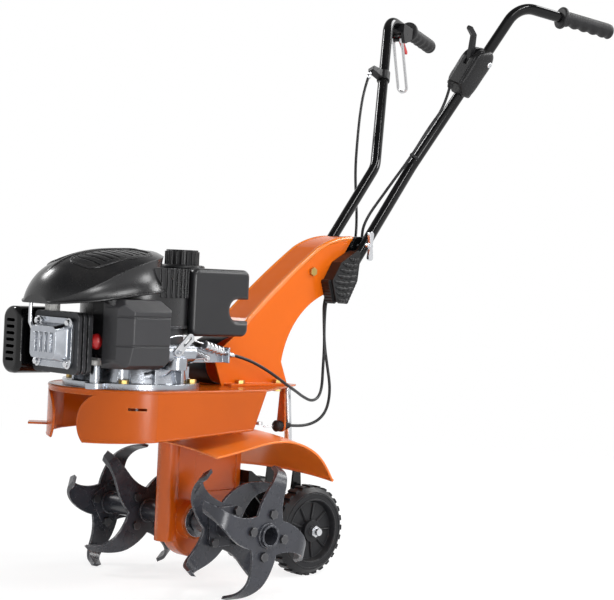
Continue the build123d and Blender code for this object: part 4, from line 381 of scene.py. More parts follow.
class Finishes:
    """Every finish of the machine, shaded once."""

    ORANGE = Finish("orange_paint", (0.76, 0.138, 0.005), roughness=0.24, rough_spread=0.05, specular=0.28,
                    grain_scale=420.0, tone_spread=0.05, edge_radius=0.0016, wear=0.35,
                    wear_color=(0.95, 0.45, 0.12), dust=0.02)
    # Lighter, glossier copy of the orange paint for the mast's folds: a painted highlight along the fold
    # line.
    FOLD_ORANGE_PAINTED_HIGHLIGHT = ORANGE.kin("fold_orange_painted_highlight", (0.88, 0.21, 0.01), roughness=0.22, rough_spread=0.04,
                             specular=0.5, grain_depth=0.04, wear=0.2, wear_color=(0.95, 0.5, 0.14),
                             coat=1.0, coat_roughness=0.14, dust=0.0)
    # Darker copy of the orange paint for the gear case under the hood: painted shade.
    CASE_ORANGE_PAINTED_SHADE = ORANGE.kin("case_orange_painted_shade", (0.6, 0.108, 0.005), roughness=0.2, specular=0.45,
                             grain_depth=0.06, tone_spread=0.1, wear_color=(0.9, 0.42, 0.11))
    # Lighter copy of the orange paint for the hood and its lips: painted light on the hood.
    HOOD_ORANGE_PAINTED_LIGHT = ORANGE.kin("hood_orange_painted_light", (0.9, 0.2, 0.02), roughness=0.3, rough_spread=0.06, specular=0.5,
                             grain_depth=0.06, tone_spread=0.08, wear_color=(0.95, 0.48, 0.16), dust=0.08)
    # Darker copy of the orange paint for the deck and its skirts: painted shade on the skirt.
    DECK_ORANGE_PAINTED_SHADE = CASE_ORANGE_PAINTED_SHADE.kin("deck_orange_painted_shade", (0.52, 0.09, 0.0025), roughness=0.22, specular=0.28,
                                  grain_depth=0.05, tone_spread=0.08)
    BLACK_PAINT = Finish("black_paint", (0.003, 0.003, 0.0035), roughness=0.11, rough_spread=0.03,
                         specular=0.32, grain_scale=500.0, grain_depth=0.03, wear=0.2,
                         wear_color=(0.12, 0.12, 0.13), dust=0.02)
    # Pale colour on the tines' edges and rub marks: partly real scuffing, partly a painted highlight on blade
    # and hub edges.
    TINE_BLACK_WEAR_AND_GLINT = Finish("tine_black", (0.033, 0.0355, 0.045), roughness=0.28, rough_spread=0.14,
                        grain_scale=700.0, grain_depth=0.14, tone_spread=0.3, tone_scale=30.0, wear=0.8,
                        wear_color=(0.32, 0.33, 0.36), scuff=0.6, dust=0.05)
    ZINC = Finish("zinc_steel", (0.62, 0.63, 0.65), metallic=1.0, roughness=0.26, grain_scale=300.0,
                  tone_spread=0.14, tone_scale=60.0, edge_radius=0.0006)
    DARK_BOLT = ZINC.kin("dark_bolt", (0.1, 0.1, 0.105), metallic=0.9, roughness=0.4, grain_scale=500.0,
                         grain_depth=0.1, tone_spread=0.25, tone_scale=70.0, edge_radius=0.0008, wear=0.5,
                         wear_color=(0.5, 0.5, 0.5))
    YELLOW_ZINC = ZINC.kin("yellow_zinc", (0.5, 0.35, 0.12), roughness=0.38, tone_spread=0.2, tone_scale=90.0)
    TURNED = Finish("turned_steel", (0.56, 0.56, 0.57), metallic=1.0, roughness=0.2, rough_spread=0.08,
                    grain_scale=400.0, grain_depth=0.04, edge_radius=0.0006)
    CAST = Finish("cast_alloy", (0.38, 0.4, 0.435), metallic=1.0, roughness=0.24, grain_scale=420.0,
                  grain_depth=0.3, tone_spread=0.22, tone_scale=40.0, edge_radius=0.0014, wear=0.3,
                  wear_color=(0.85, 0.85, 0.86), dust=0.05)
    DARK_CAST = CAST.kin("dark_cast", (0.055, 0.056, 0.06), metallic=0.7, roughness=0.46, rough_spread=0.14,
                         specular=0.35, grain_scale=520.0, tone_spread=0.25, edge_radius=0.0012, wear=0.4,
                         wear_color=(0.4, 0.4, 0.41), dust=0.04)
    IRON = Finish("cast_iron", (0.16, 0.16, 0.165), metallic=0.8, roughness=0.55, grain_scale=420.0,
                  grain_depth=0.3)
    BRONZE = Finish("bronze", (0.62, 0.38, 0.15), metallic=1.0, roughness=0.3, grain_depth=0.03,
                    edge_radius=0.0004)
    COWL = Finish("cowl_plastic", (0.009, 0.009, 0.01), roughness=0.27, rough_spread=0.07, grain_scale=1300.0,
                  tone_spread=0.1, edge_radius=0.0018, dust=0.025)
    BLACK_PLASTIC = Finish("black_plastic", (0.008, 0.008, 0.009), roughness=0.36, rough_spread=0.08,
                           specular=0.32, grain_scale=1500.0, grain_depth=0.16, tone_spread=0.14,
                           edge_radius=0.0018, dust=0.03)
    SATIN_PLASTIC = BLACK_PLASTIC.kin("satin_plastic", (0.014, 0.014, 0.016), roughness=0.33,
                                      rough_spread=0.06, specular=0.45, grain_depth=0.12, tone_spread=0.12,
                                      edge_radius=0.0016)
    COVER_PLASTIC = SATIN_PLASTIC.kin("cover_plastic", (0.026, 0.026, 0.029), roughness=0.36, specular=0.5)
    WHEEL = Finish("wheel_plastic", (0.010, 0.0102, 0.012), roughness=0.42, specular=0.3, grain_scale=1200.0,
                   grain_depth=0.14, tone_spread=0.2, wear=0.35, wear_color=(0.07, 0.07, 0.08), dust=0.05)
    GREY_PLASTIC = Finish("grey_plastic", (0.56, 0.56, 0.55), roughness=0.42, grain_depth=0.08)
    RED_PLASTIC = Finish("red_plastic", (0.5, 0.012, 0.012), roughness=0.35, grain_depth=0.04)
    RED_RUBBER = Finish("red_rubber", (0.46, 0.012, 0.014), roughness=0.36, coat=0.2)
    GRIP = Finish("grip_rubber", (0.011, 0.011, 0.012), roughness=0.52, specular=0.35, grain_scale=1600.0,
                  grain_depth=0.2, dust=0.03)
    BELT = Finish("belt_rubber", (0.02, 0.02, 0.02), roughness=0.7, specular=0.3, grain_scale=800.0,
                  grain_depth=0.2)
    SHEATH = Finish("cable_sheath", (0.008, 0.008, 0.009), roughness=0.34, specular=0.35)
    CERAMIC = Finish("plug_ceramic", (0.75, 0.75, 0.72), roughness=0.25, grain_depth=0.02)

    NODES: dict[str, Finish] = {name: finish for finish, names in (
        (ORANGE, "mast"), (HOOD_ORANGE_PAINTED_LIGHT, "tine_hood"), (CASE_ORANGE_PAINTED_SHADE, "gear_case_left gear_case_right"),
        (DECK_ORANGE_PAINTED_SHADE, "deck"),
        (ZINC, "gear_case_bearings stay_rod wheel_axle cowl_stay throttle_arm tensioner_arm clamp_bolt"),
        (BLACK_PAINT, "wheel_bracket handle_bracket muffler left_handle_tube right_handle_tube"),
        (CAST, "engine_sump rocker_cover carburettor"), (DARK_CAST, "engine_block cylinder_head"),
        (TURNED, "crankshaft drive_pulley driven_pulley worm_shaft tine_shaft clutch_lever"),
        (TINE_BLACK_WEAR_AND_GLINT, "left_tine_hub right_tine_hub left_outer_tines left_inner_tines right_inner_tines"),
        (TINE_BLACK_WEAR_AND_GLINT, "right_outer_tines"),
        (BLACK_PLASTIC, "fuel_cap air_filter_base idler_pulley handle_sockets throttle_housing"),
        (BLACK_PLASTIC, "throttle_lever clutch_bracket cable_stop"), (WHEEL, "left_wheel right_wheel"),
        (GRIP, "left_grip right_grip"), (SHEATH, "throttle_cable clutch_cable"), (SATIN_PLASTIC, "fuel_tank"),
        (COVER_PLASTIC, "air_filter_cover"), (YELLOW_ZINC, "frame_bolts"), (DARK_BOLT, "tine_bolts"),
        (COWL, "engine_cowl"), (CERAMIC, "spark_plug"), (RED_RUBBER, "primer_bulb"),
        (GREY_PLASTIC, "oil_dipstick"), (IRON, "flywheel"), (BELT, "drive_belt"), (BRONZE, "worm_wheel"),
        (RED_PLASTIC, "clutch_lock"),
    ) for name in names.split()}

    def __init__(self) -> None:
        """Start with the shared effects and no material."""
        self.effects = Effects()
        self.made: dict[str, bpy.types.Material] = {}

    def dress(self, obj: bpy.types.Object, finish: Finish) -> None:
        """Give an object one finish, whose material is shaded at its first use.

        Args:
            obj: the piece or node.
            finish: its finish.
        """
        if finish.name not in self.made:
            self.made[finish.name] = finish.shade(self.effects)
        obj.data.materials.clear()
        obj.data.materials.append(self.made[finish.name])

    def dress_frame(self, nodes: dict[str, bpy.types.Object]) -> None:
        """Give every CAD node its finish."""
        for name, obj in nodes.items():
            self.dress(obj, self.NODES[name])


def metres(points: np.ndarray | Point) -> np.ndarray:
    """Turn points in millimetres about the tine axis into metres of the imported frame."""
    return (np.asarray(points, float) + (0.0, SHIFT_Y, 0.0)) * MM


def at(point: Point) -> Point:
    """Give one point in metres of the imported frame, from millimetres about the tine axis."""
    return tuple(metres(point).tolist())


def unit(direction: Point | np.ndarray) -> np.ndarray:
    """Give directions, one or a row each, at length 1."""
    return np.asarray(direction, float) / np.linalg.norm(direction, axis=-1, keepdims=True)


def circle(count: int) -> np.ndarray:
    """Give angles evenly round a circle."""
    return np.linspace(0, math.tau, count, endpoint=False)


def squared_circle(count: int, power: float) -> list[np.ndarray]:
    """Give cosines and sines round a circle, each drawn out to a power with its sign kept."""
    return [np.sign(wave) * np.abs(wave) ** power for wave in (np.cos(circle(count)), np.sin(circle(count)))]


def arc(start: Pair, middle: Pair, end: Pair, count: int) -> np.ndarray:
    """Circle through three points of a plane, from the first to the last.

    Args:
        start: first point.
        middle: a point between.
        end: last point.
        count: points wanted.

    Returns:
        The points, evenly turned about the circle's centre.
    """
    a, b, c = (np.asarray(point, float) for point in (start, middle, end))
    rows = 2 * np.array([b - a, c - a])
    centre = np.linalg.solve(rows, np.array([b @ b - a @ a, c @ c - a @ a]))
    turns = np.unwrap([math.atan2(*(point - centre)[::-1]) for point in (a, b, c)])
    angle = np.linspace(turns[0], turns[2], count)
    return centre + np.linalg.norm(a - centre) * np.stack([np.cos(angle), np.sin(angle)], axis=-1)


def eased(knots: np.ndarray, values: np.ndarray, wanted: np.ndarray) -> np.ndarray:
    """Natural cubic spline: second slopes from the usual three-band equations, zero at both ends.

    Args:
        knots: rising places of the known values.
        values: known values, one row a knot.
        wanted: places to read.

    Returns:
        One row of values for each wanted place.
    """
    step = np.diff(knots)
    rise = np.diff(values, axis=0) / step[:, None]
    bands = np.diag(np.r_[1.0, 2 * (step[:-1] + step[1:]), 1.0])
    bands += np.diag(np.r_[step[:-1], 0.0], -1) + np.diag(np.r_[0.0, step[1:]], 1)
    ends = np.zeros((1, values.shape[1]))
    bend = np.linalg.solve(bands, np.concatenate([ends, 6 * np.diff(rise, axis=0), ends]))
    cell = np.clip(np.searchsorted(knots, wanted) - 1, 0, len(step) - 1)
    near, far = (wanted - knots[cell])[:, None], (knots[cell + 1] - wanted)[:, None]
    width = step[cell][:, None]
    curve = (bend[cell] * far**3 + bend[cell + 1] * near**3) / (6 * width)
    line = (values[cell] / width - bend[cell] * width / 6) * far
    return curve + line + (values[cell + 1] / width - bend[cell + 1] * width / 6) * near


def through(points: tuple, count: int) -> np.ndarray:
    """Give a count of places on the natural spline through some points."""
    last = len(points) - 1
    return eased(np.arange(last + 1.0), np.asarray(points, float), np.linspace(0, last, count))


@dataclass
class Shape:
    """Points in millimetres about the tine axis, and faces, of one surface or of several."""

    STEEP = 0.9

    points: np.ndarray
    faces: list[list[int]]

    def __add__(self, other: Shape) -> Shape:
        """Put two shapes together in one, unjoined.

        Args:
            other: the shape that follows.

        Returns:
            One shape of both.
        """
        start = len(self.points)
        moved = [[index + start for index in face] for face in other.faces]
        return Shape(np.concatenate([self.points, other.points]), self.faces + moved)

    @staticmethod
    def together(shapes: Iterable[Shape]) -> Shape:
        """Put several shapes together in one, unjoined."""
        return reduce(Shape.__add__, shapes)

    def mirrored(self) -> Shape:
        """Give the same shape on the machine's other side."""
        return Shape(self.points * (-1, 1, 1), [face[::-1] for face in self.faces])

    def both_sides(self) -> Shape:
        """Put the shape together with the same one on the machine's other side."""
        return self + self.mirrored()

    @classmethod
    def square_to(cls, along: Point | np.ndarray) -> tuple[np.ndarray, np.ndarray]:
        """Give two directions square to a direction and to each other.

        Args:
            along: the direction.

        Returns:
            Both directions, at length 1.
        """
        along = unit(along)
        first = unit(np.cross(along, UP if abs(along[2]) < cls.STEEP else ASIDE))
        return first, np.cross(along, first)

    @classmethod
    def skin(cls, rings: np.ndarray, loop: bool = False) -> Shape:
        """Cover rings of points with quads; the ends are closed by fans, or meet where loop is set.

        Args:
            rings: count by sides by 3 points.
            loop: whether the last ring joins the first.

        Returns:
            The closed surface.
        """
        count, sides = rings.shape[:2]
        row, column = np.meshgrid(np.arange(count if loop else count - 1), np.arange(sides), indexing="ij")
        after, below = (column + 1) % sides, (row + 1) % count
        corners = (row * sides + column, row * sides + after, below * sides + after, below * sides + column)
        faces = np.stack(corners, axis=-1).reshape(-1, 4).tolist()
        points = rings.reshape(-1, 3)
        if not loop:
            points = np.concatenate([points, rings[[0, -1]].mean(axis=1)])
            ring = np.arange(sides)
            after, base = (ring + 1) % sides, (count - 1) * sides
            faces += np.stack([after, ring, np.full(sides, len(points) - 2)], axis=-1).tolist()
            faces += np.stack([base + ring, base + after, np.full(sides, len(points) - 1)], axis=-1).tolist()
        return cls(points, faces)

    @classmethod
    def turned(cls, origin: Point, along: Point | np.ndarray, profile: tuple | np.ndarray,
               sides: int = 28) -> Shape:
        """Turn a profile about an axis: p(s, a) = origin + s t + r(s) (n cos a + b sin a).

        Args:
            origin: a point on the axis.
            along: the axis.
            profile: radius and place along the axis, in order.
            sides: points round the axis; 6 gives a hexagon.

        Returns:
            The closed surface.
        """
        first, second = cls.square_to(along)
        rows = np.asarray(profile, float)[..., None, None]
        angle = circle(sides)[:, None]
        ring = first * np.cos(angle) + second * np.sin(angle)
        return cls.skin(np.asarray(origin) + rows[:, 1] * unit(along) + rows[:, 0] * ring)

    @classmethod
    def bead(cls, path: np.ndarray, radius: float | np.ndarray, across: Point | np.ndarray, flat: float = 1.0,
             sides: int = 12, loop: bool = False) -> Shape:
        """Carry an ellipse along a path: ring = path + r (n cos a + f b sin a), n nearest to across.

        Args:
            path: centre points.
            radius: half-width towards across, one number or one a point.
            across: a direction that the path never takes.
            flat: height over width of the ellipse.
            sides: points round the ellipse.
            loop: whether the path closes on itself.

        Returns:
            The closed surface.
        """
        chords = np.roll(path, -1, axis=0) - np.roll(path, 1, axis=0)
        along = unit(chords if loop else np.gradient(path, axis=0))
        normal = unit(np.asarray(across) - along * (along @ np.asarray(across))[:, None])
        side = np.cross(along, normal)
        angle = circle(sides)[:, None]
        ellipse = normal[:, None] * np.cos(angle) + flat * side[:, None] * np.sin(angle)
        return cls.skin(path[:, None] + np.reshape(radius, (-1, 1, 1)) * ellipse, loop)

    @classmethod
    def hex_screws(cls, seats: Iterable[Point], outwards: Point, across_flats: float, height: float) -> Shape:
        """Screws, each a washer and a hexagon head with chamfered top, turned on one axis.

        Args:
            seats: where each washer lies.
            outwards: the way that the heads look.
            across_flats: width of the head.
            height: height of the head's top.

        Returns:
            All screws as one shape.
        """
        corner, chamfer, shoulder = across_flats / math.sqrt(3), across_flats / 2 * 0.92, height * 0.85
        washer, rim, edge, bevel = 0.15 * across_flats, 0.85 * across_flats, 0.4, 0.3
        head = ((corner, washer), (corner, shoulder), (chamfer, height))
        disc = ((rim - edge, 0.0), (rim, edge), (rim, washer - bevel), (rim - edge, washer))
        return cls.together(
            cls.turned(seat, outwards, disc) + cls.turned(seat, outwards, head, sides=6) for seat in seats)


@dataclass(frozen=True)
class Part:
    """A piece to be made, on the body that it rides on, or on None where it rides on no body.

    The nodes are those of the CAD that it stands for.
    """

    name: str
    shape: Shape
    finish: Finish
    body: str | None
    nodes: tuple[str, ...] = ()


@dataclass
class Workshop:
    """Makes pieces out of parts, each with its finish and its body."""

    finishes: Finishes
    crease: float = 38.0

    def piece(self, part: Part) -> bpy.types.Object:
        """Make one piece.

        Args:
            part: its name, shape, finish, body and nodes.

        Returns:
            The piece.
        """
        mesh = bpy.data.meshes.new(part.name)
        mesh.from_pydata(metres(part.shape.points).tolist(), [], part.shape.faces)
        solid = bmesh.new()
        solid.from_mesh(mesh)
        bmesh.ops.recalc_face_normals(solid, faces=solid.faces)
        solid.to_mesh(mesh)
        solid.free()
        mesh.polygons.foreach_set("use_smooth", np.full(len(mesh.polygons), True))
        mesh.set_sharp_from_angle(angle=math.radians(self.crease))
        obj = bpy.data.objects.new(part.name, mesh)
        bpy.context.scene.collection.objects.link(obj)
        self.finishes.dress(obj, part.finish)
        if part.body:
            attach(obj, part.body)
        if part.nodes:
            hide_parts(*part.nodes)
        LOG.info("%s: %d faces on %s", part.name, len(mesh.polygons), part.body or "two bodies")
        return obj


class SubAssembly:
    """Pieces that are made together."""

    def parts(self) -> tuple[Part, ...]:
        """Give the parts, each with its finish."""
        raise NotImplementedError

    def build(self, workshop: Workshop) -> None:
        """Make and dress the pieces."""
        for part in self.parts():
            workshop.piece(part)


@dataclass
class Cables(SubAssembly):
    """Throttle cable on the left and clutch cable on the right, with their ferrules, boot and tie."""

    diameter: float = 5.0
    sides: int = 14
    throttle_route: tuple[Point, ...] = (
        (103, 480, 849), (87, 486, 808), (70, 462, 765), (52, 445, 719), (32, 402, 652), (12, 370, 595),
        (8, 372, 560), (10, 352, 520), (18, 312, 494), (24, 276, 466), (28, 270, 420), (30, 271, 377),
        (34, 266, 340), (38, 262, 312), (44, 250, 294), (52, 226, 288), (62, 195, 297), (76, 163, 309),
        (86, 137, 318), (90, 98, 338), (88, 60, 356), (83, 28, 366), (80, 6, 370),
    )
    clutch_route: tuple[Point, ...] = (
        (-116, 500, 878), (-107, 478, 845), (-97, 460, 800), (-84, 443, 748), (-74, 431, 695),
        (-63, 424, 650), (-42, 408, 610), (-18, 384, 575), (-8, 370, 545), (-2, 346, 512), (6, 308, 488),
        (14, 280, 458), (15, 282, 420), (16, 285, 380), (21, 289, 345), (28, 291, 311), (32, 286, 286),
        (35, 276, 268), (36, 262, 256), (36, 245, 249), (36, 226, 246), (36, 208, 246), (36, 192, 247),
    )
    moving_from: Point = (0, 372, 560)
    moving_to: Point = (0, 452, 700)
    sleeve: tuple[Pair, ...] = (
        (2.7, 0.0), (3.9, 0.5), (4.1, 4.0), (3.5, 5.0), (3.5, 7.0), (4.1, 8.0), (4.1, 11.0), (3.4, 12.5),
        (2.7, 15.0),
    )
    sleeve_reach: int = 6
    boot_length: float = 35.0
    boot_line: tuple = ((0, 2, 6, 24, 35), (4.0, 8.6, 9.2, 6.2, 3.6))
    boot_wave: Pair = (0.7, 4.6)
    boot_steps: int = 57
    wire_radius: float = 1.25
    wire_steps: int = 12
    tube_radius: float = 9.5
    tie_share: float = 0.045
    tie_lift: float = 0.8
    tie_half: float = 2.6
    tie_flat: float = 0.32
    tie_steps: int = 48
    tie_knob: tuple[Pair, ...] = ((3.2, 0.0), (3.2, 2.2), (2.4, 3.0))

    def line(self, name: str, route: tuple[Point, ...]) -> np.ndarray:
        """Smooth line through a route: one open spline with the route's points as its control points.

        Args:
            name: name of the passing curve.
            route: points in millimetres about the tine axis.

        Returns:
            Points along the line, in the same millimetres.
        """
        curve = bpy.data.curves.new(name, "CURVE")
        curve.dimensions = "3D"
        spline = curve.splines.new("NURBS")
        spline.points.add(len(route) - 1)
        spline.points.foreach_set("co", np.array([(*point, 1.0) for point in route]).ravel())
        spline.order_u = 3
        spline.use_endpoint_u = True
        spline.resolution_u = 8
        holder = bpy.data.objects.new(name, curve)
        mesh = bpy.data.meshes.new_from_object(holder)
        points = np.empty(len(mesh.vertices) * 3)
        mesh.vertices.foreach_get("co", points)
        bpy.data.objects.remove(holder)
        bpy.data.meshes.remove(mesh)
        bpy.data.curves.remove(curve)
        return points.reshape(-1, 3)

    def lay(self, workshop: Workshop, node: str, route: tuple[Point, ...]) -> np.ndarray:
        """Make one cable, laid from the frame to the handlebar on no body.

        Args:
            workshop: makes the piece.
            node: the CAD node it stands for.
            route: its route.

        Returns:
            The points that it follows, in millimetres.
        """
        path = self.line(node + "_line", route)
        shape = Shape.bead(path, self.diameter / 2, ASIDE, sides=self.sides)
        piece = workshop.piece(Part(node + "_run", shape, Finishes.SHEATH, None, (node,)))
        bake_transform(piece)
        return path

    def ferrule(self, path: np.ndarray) -> Shape:
        """Crimped sleeve on a cable's first stretch: a turned profile with two necks."""
        return Shape.turned(path[0], path[self.sleeve_reach] - path[0], self.sleeve)

    def boot(self) -> tuple[Shape, Shape]:
        """Rubber bellows where the clutch cable meets the belt tensioner, and the bare wire in front of it.

        Returns:
            The bellows, of radius line(s) + d cos(2 pi s / p), and the wire.
        """
        tip_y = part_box("clutch_cable")[0][1] / MM - SHIFT_Y
        x, rear, z = self.clutch_route[-1]
        front = (x, rear - self.boot_length, z)
        along = np.linspace(0.0, self.boot_length, self.boot_steps)
        depth, pitch = self.boot_wave
        radius = np.interp(along, *self.boot_line) + depth * np.cos(along * math.tau / pitch)
        bellows = Shape.turned(front, REARWARDS, np.column_stack([radius, along]))
        wire = np.linspace(front, (x, tip_y, z), self.wire_steps)
        return bellows, Shape.bead(wire, self.wire_radius, UP)

    def tie(self, path: np.ndarray) -> Shape:
        """Band round tube and cable: p(a) = tube + w (cable - tube) + q(w) (e cos a + f sin a).

        w = (1 + cos a) / 2 is the share towards the cable, and q(w) the girth there.

        Args:
            path: the points that the cable follows.

        Returns:
            The band with its square knob.
        """
        low, high = np.asarray(TUBE_KNEE), np.asarray(TUBE_CROWN)
        tube = low + self.tie_share * (high - low)
        along = unit(high - low)
        gap = path - tube
        near = gap[np.abs(gap @ along).argmin()]
        reach = near - along * (near @ along)
        first = unit(reach)
        angle = circle(self.tie_steps)[:, None]
        share = (1 + np.cos(angle)) / 2
        girth = self.tube_radius + self.tie_lift + share * (self.diameter / 2 - self.tube_radius)
        loop = tube + share * reach + girth * (first * np.cos(angle) + np.cross(along, first) * np.sin(angle))
        seat = tube - first * (self.tube_radius + self.tie_lift / 2)
        knob = Shape.turned(seat, -first, self.tie_knob, sides=4)
        return Shape.bead(loop, self.tie_half, along, flat=self.tie_flat, loop=True) + knob

    def build(self, workshop: Workshop) -> None:
        """Lay both cables and put their fittings on.

        Args:
            workshop: makes the pieces.
        """
        throttle = self.lay(workshop, "throttle_cable", self.throttle_route)
        clutch = self.lay(workshop, "clutch_cable", self.clutch_route)
        bellows, wire = self.boot()
        for part in (
            Part("clutch_cable_ferrule", self.ferrule(clutch), Finishes.ZINC, "handlebar"),
            Part("throttle_cable_ferrule", self.ferrule(throttle[::-1]), Finishes.ZINC, "frame"),
            Part("clutch_boot", bellows, Finishes.GRIP, "frame", ("clutch_cable",)),
            Part("clutch_wire", wire, Finishes.TURNED, "frame", ("clutch_cable",)),
            Part("cable_tie", self.tie(throttle), Finishes.BLACK_PLASTIC, "handlebar"),
        ):
            workshop.piece(part)


@dataclass
class Grips(SubAssembly):
    """Rubber grips with a thumb collar, finger waves below and fine ridges above."""

    end: Point = (220.0, 776.0, 966.0)
    radius: float = 14.2
    draft: float = 0.5
    collar: float = 20.3
    collar_half: float = 4.8
    length: float = 112.0
    overhang: float = 3.0
    held: Pair = (14.0, 108.0)
    held_fade: float = 6.0
    wave_pitch: float = 20.5
    wave_depth: float = 2.6
    wave_power: float = 0.8
    ridge_pitch: float = 3.6
    ridge_depth: float = 0.55
    ridge_spread: float = 0.3
    round_from: float = 106.0
    round_share: float = 0.86
    rows: int = 190
    sides: int = 56

    def left(self) -> Shape:
        """Sleeve p(u, a) = axis(u) + r(u, a) (d cos a + s sin a), d downwards.

        r is the body's radius, plus the collar's bump near u = 0, less waves on the lower half, plus ridges
        on the upper half, and drawn in to a rounded end.

        Returns:
            The left grip.
        """
        tip, whole = np.asarray(self.end), self.length + self.overhang
        axis = unit(tip - TUBE_CROWN)
        down = unit(np.array((0.0, 0.0, -1.0)) + axis * axis[2])
        side = np.cross(axis, down)
        u, angle = np.linspace(0.0, whole, self.rows)[:, None], circle(self.sides)[None, :]
        rise = np.clip(1 - ((u - self.collar_half) / self.collar_half) ** 4, 0, 1)
        bump = rise * (self.collar - self.radius)
        first, last = self.held
        held = np.clip((u - first) / self.held_fade, 0, 1) * np.clip((last - u) / self.held_fade, 0, 1)
        waves = self.wave_depth * (1 - np.cos(math.tau * (u - first) / self.wave_pitch)) / 2
        ridges = self.ridge_depth * np.abs(np.sin(np.pi * u / self.ridge_pitch))
        below = np.clip(np.cos(angle), 0, 1) ** self.wave_power
        above = np.clip(self.ridge_spread - np.cos(angle), 0, 1)
        radius = self.radius - self.draft + bump + held * (ridges * above - waves * below)
        rounding = np.clip((u - self.round_from) / (whole - self.round_from), 0, 1)
        radius = radius * np.sqrt(1 - self.round_share * rounding**3)
        centre = tip + (u - self.length) * axis
        ring = down * np.cos(angle)[..., None] + side * np.sin(angle)[..., None]
        return Shape.skin(centre[:, None] + radius[..., None] * ring)

    def parts(self) -> tuple[Part, ...]:
        """Give both grips.

        Returns:
            The parts.
        """
        left = self.left()
        return (
            Part("left_grip_sleeve", left, Finishes.GRIP, "handlebar", ("left_grip",)),
            Part("right_grip_sleeve", left.mirrored(), Finishes.GRIP, "handlebar", ("right_grip",)),
        )


@dataclass
class CowlTrim(SubAssembly):
    """Raised lines on the engine's top cover: rolled rim, middle rib and a frame round each grille."""

    sections: tuple = (
        (-186.0, 30.0, 126.0, 28.0, 129.0, 138.0), (-178.0, 44.0, 127.0, 42.0, 132.0, 158.0),
        (-163.0, 61.0, 129.0, 58.0, 139.0, 176.0), (-140.0, 79.0, 132.0, 74.0, 151.0, 190.0),
        (-110.0, 93.0, 137.0, 85.0, 167.0, 201.0), (-74.0, 101.0, 143.0, 88.0, 183.0, 208.0),
        (-32.0, 98.0, 149.0, 81.0, 195.0, 211.0), (-4.0, 78.0, 152.0, 67.0, 200.0, 212.0),
        (20.0, 46.0, 155.0, 41.0, 203.0, 211.0),
    )
    rim_span: Pair = (18.0, -183.6)
    rim_radius: float = 2.0
    rim_steps: int = 110
    nose_steps: int = 12
    rib_span: Pair = (-168.0, 4.0)
    rib_half: float = 6.0
    rib_flat: float = 0.42
    rib_sink: float = 0.6
    rib_tip: float = 0.02
    rib_steps: int = 90
    grille_x: float = 36.0
    grille_y: float = -76.0
    grille_half: Pair = (29.0, 60.0)
    grille_skew: float = 0.287
    grille_power: float = 0.62
    grille_bead: Pair = (1.9, 1.3)
    grille_sink: float = 0.2
    grille_steps: int = 120

    def read(self, back: np.ndarray) -> np.ndarray:
        """Give half-width and height of rim and crease, and crown height, at places behind the crank."""
        table = np.asarray(self.sections)
        return eased(table[:, 0], table[:, 1:], back)

    def on_top(self, x: np.ndarray, back: np.ndarray, sink: float) -> np.ndarray:
        """Lay points on the top face, where each section is a circle's arc from crease to crown to crease.

        Args:
            x: places across.
            back: places behind the crank.
            sink: how far under the face they lie.

        Returns:
            The points.
        """
        half, side, crown = self.read(back)[:, 2:].T
        radius = (half**2 + (crown - side) ** 2) / (2 * (crown - side))
        top = DECK_Z + crown - radius + np.sqrt(np.clip(radius**2 - x**2, 0, None))
        return np.stack([x, CRANK_Y + back, top - sink], axis=-1)

    def rim(self) -> Shape:
        """Rolled edge along the cover's rim, from one rear corner round the nose to the other.

        Returns:
            A bead along the rim.
        """
        back = np.linspace(*self.rim_span, self.rim_steps)
        half, low = self.read(back)[:, :2].T
        side = np.stack([half, CRANK_Y + back, DECK_Z + low], axis=-1)
        far = side[::-1] * (-1, 1, 1)
        nose = np.linspace(side[-1], far[0], self.nose_steps)[1:-1]
        return Shape.bead(np.concatenate([side, nose, far]), self.rim_radius, UP, sides=10)

    def rib(self) -> Shape:
        """Low rib along the crown, of half-width h sqrt(1 - t^6) with t from -1 to 1.

        Returns:
            A flat bead along the crown.
        """
        back = np.linspace(*self.rib_span, self.rib_steps)
        path = self.on_top(np.zeros_like(back), back, self.rib_sink)
        taper = np.sqrt(np.clip(1 - np.linspace(-1, 1, len(back)) ** 6, self.rib_tip, 1))
        return Shape.bead(path, self.rib_half * taper, ASIDE, flat=self.rib_flat, sides=14)

    def grille_frame(self) -> Shape:
        """Leaf-shaped ring on the top face: a squared ellipse, skewed along the slots and laid on the face.

        Returns:
            The left ring.
        """
        deep, wide = squared_circle(self.grille_steps, self.grille_power)
        x = self.grille_x + self.grille_half[0] * wide
        back = self.grille_y + self.grille_half[1] * deep + self.grille_skew * (x - self.grille_x)
        radius, flat = self.grille_bead
        return Shape.bead(self.on_top(x, back, self.grille_sink), radius, UP, flat=flat, sides=10, loop=True)

    def parts(self) -> tuple[Part, ...]:
        """Give the cover's trim as one piece."""
        shape = self.rim() + self.rib() + self.grille_frame().both_sides()
        return (Part("cowl_trim", shape, Finishes.COWL, "frame"),)


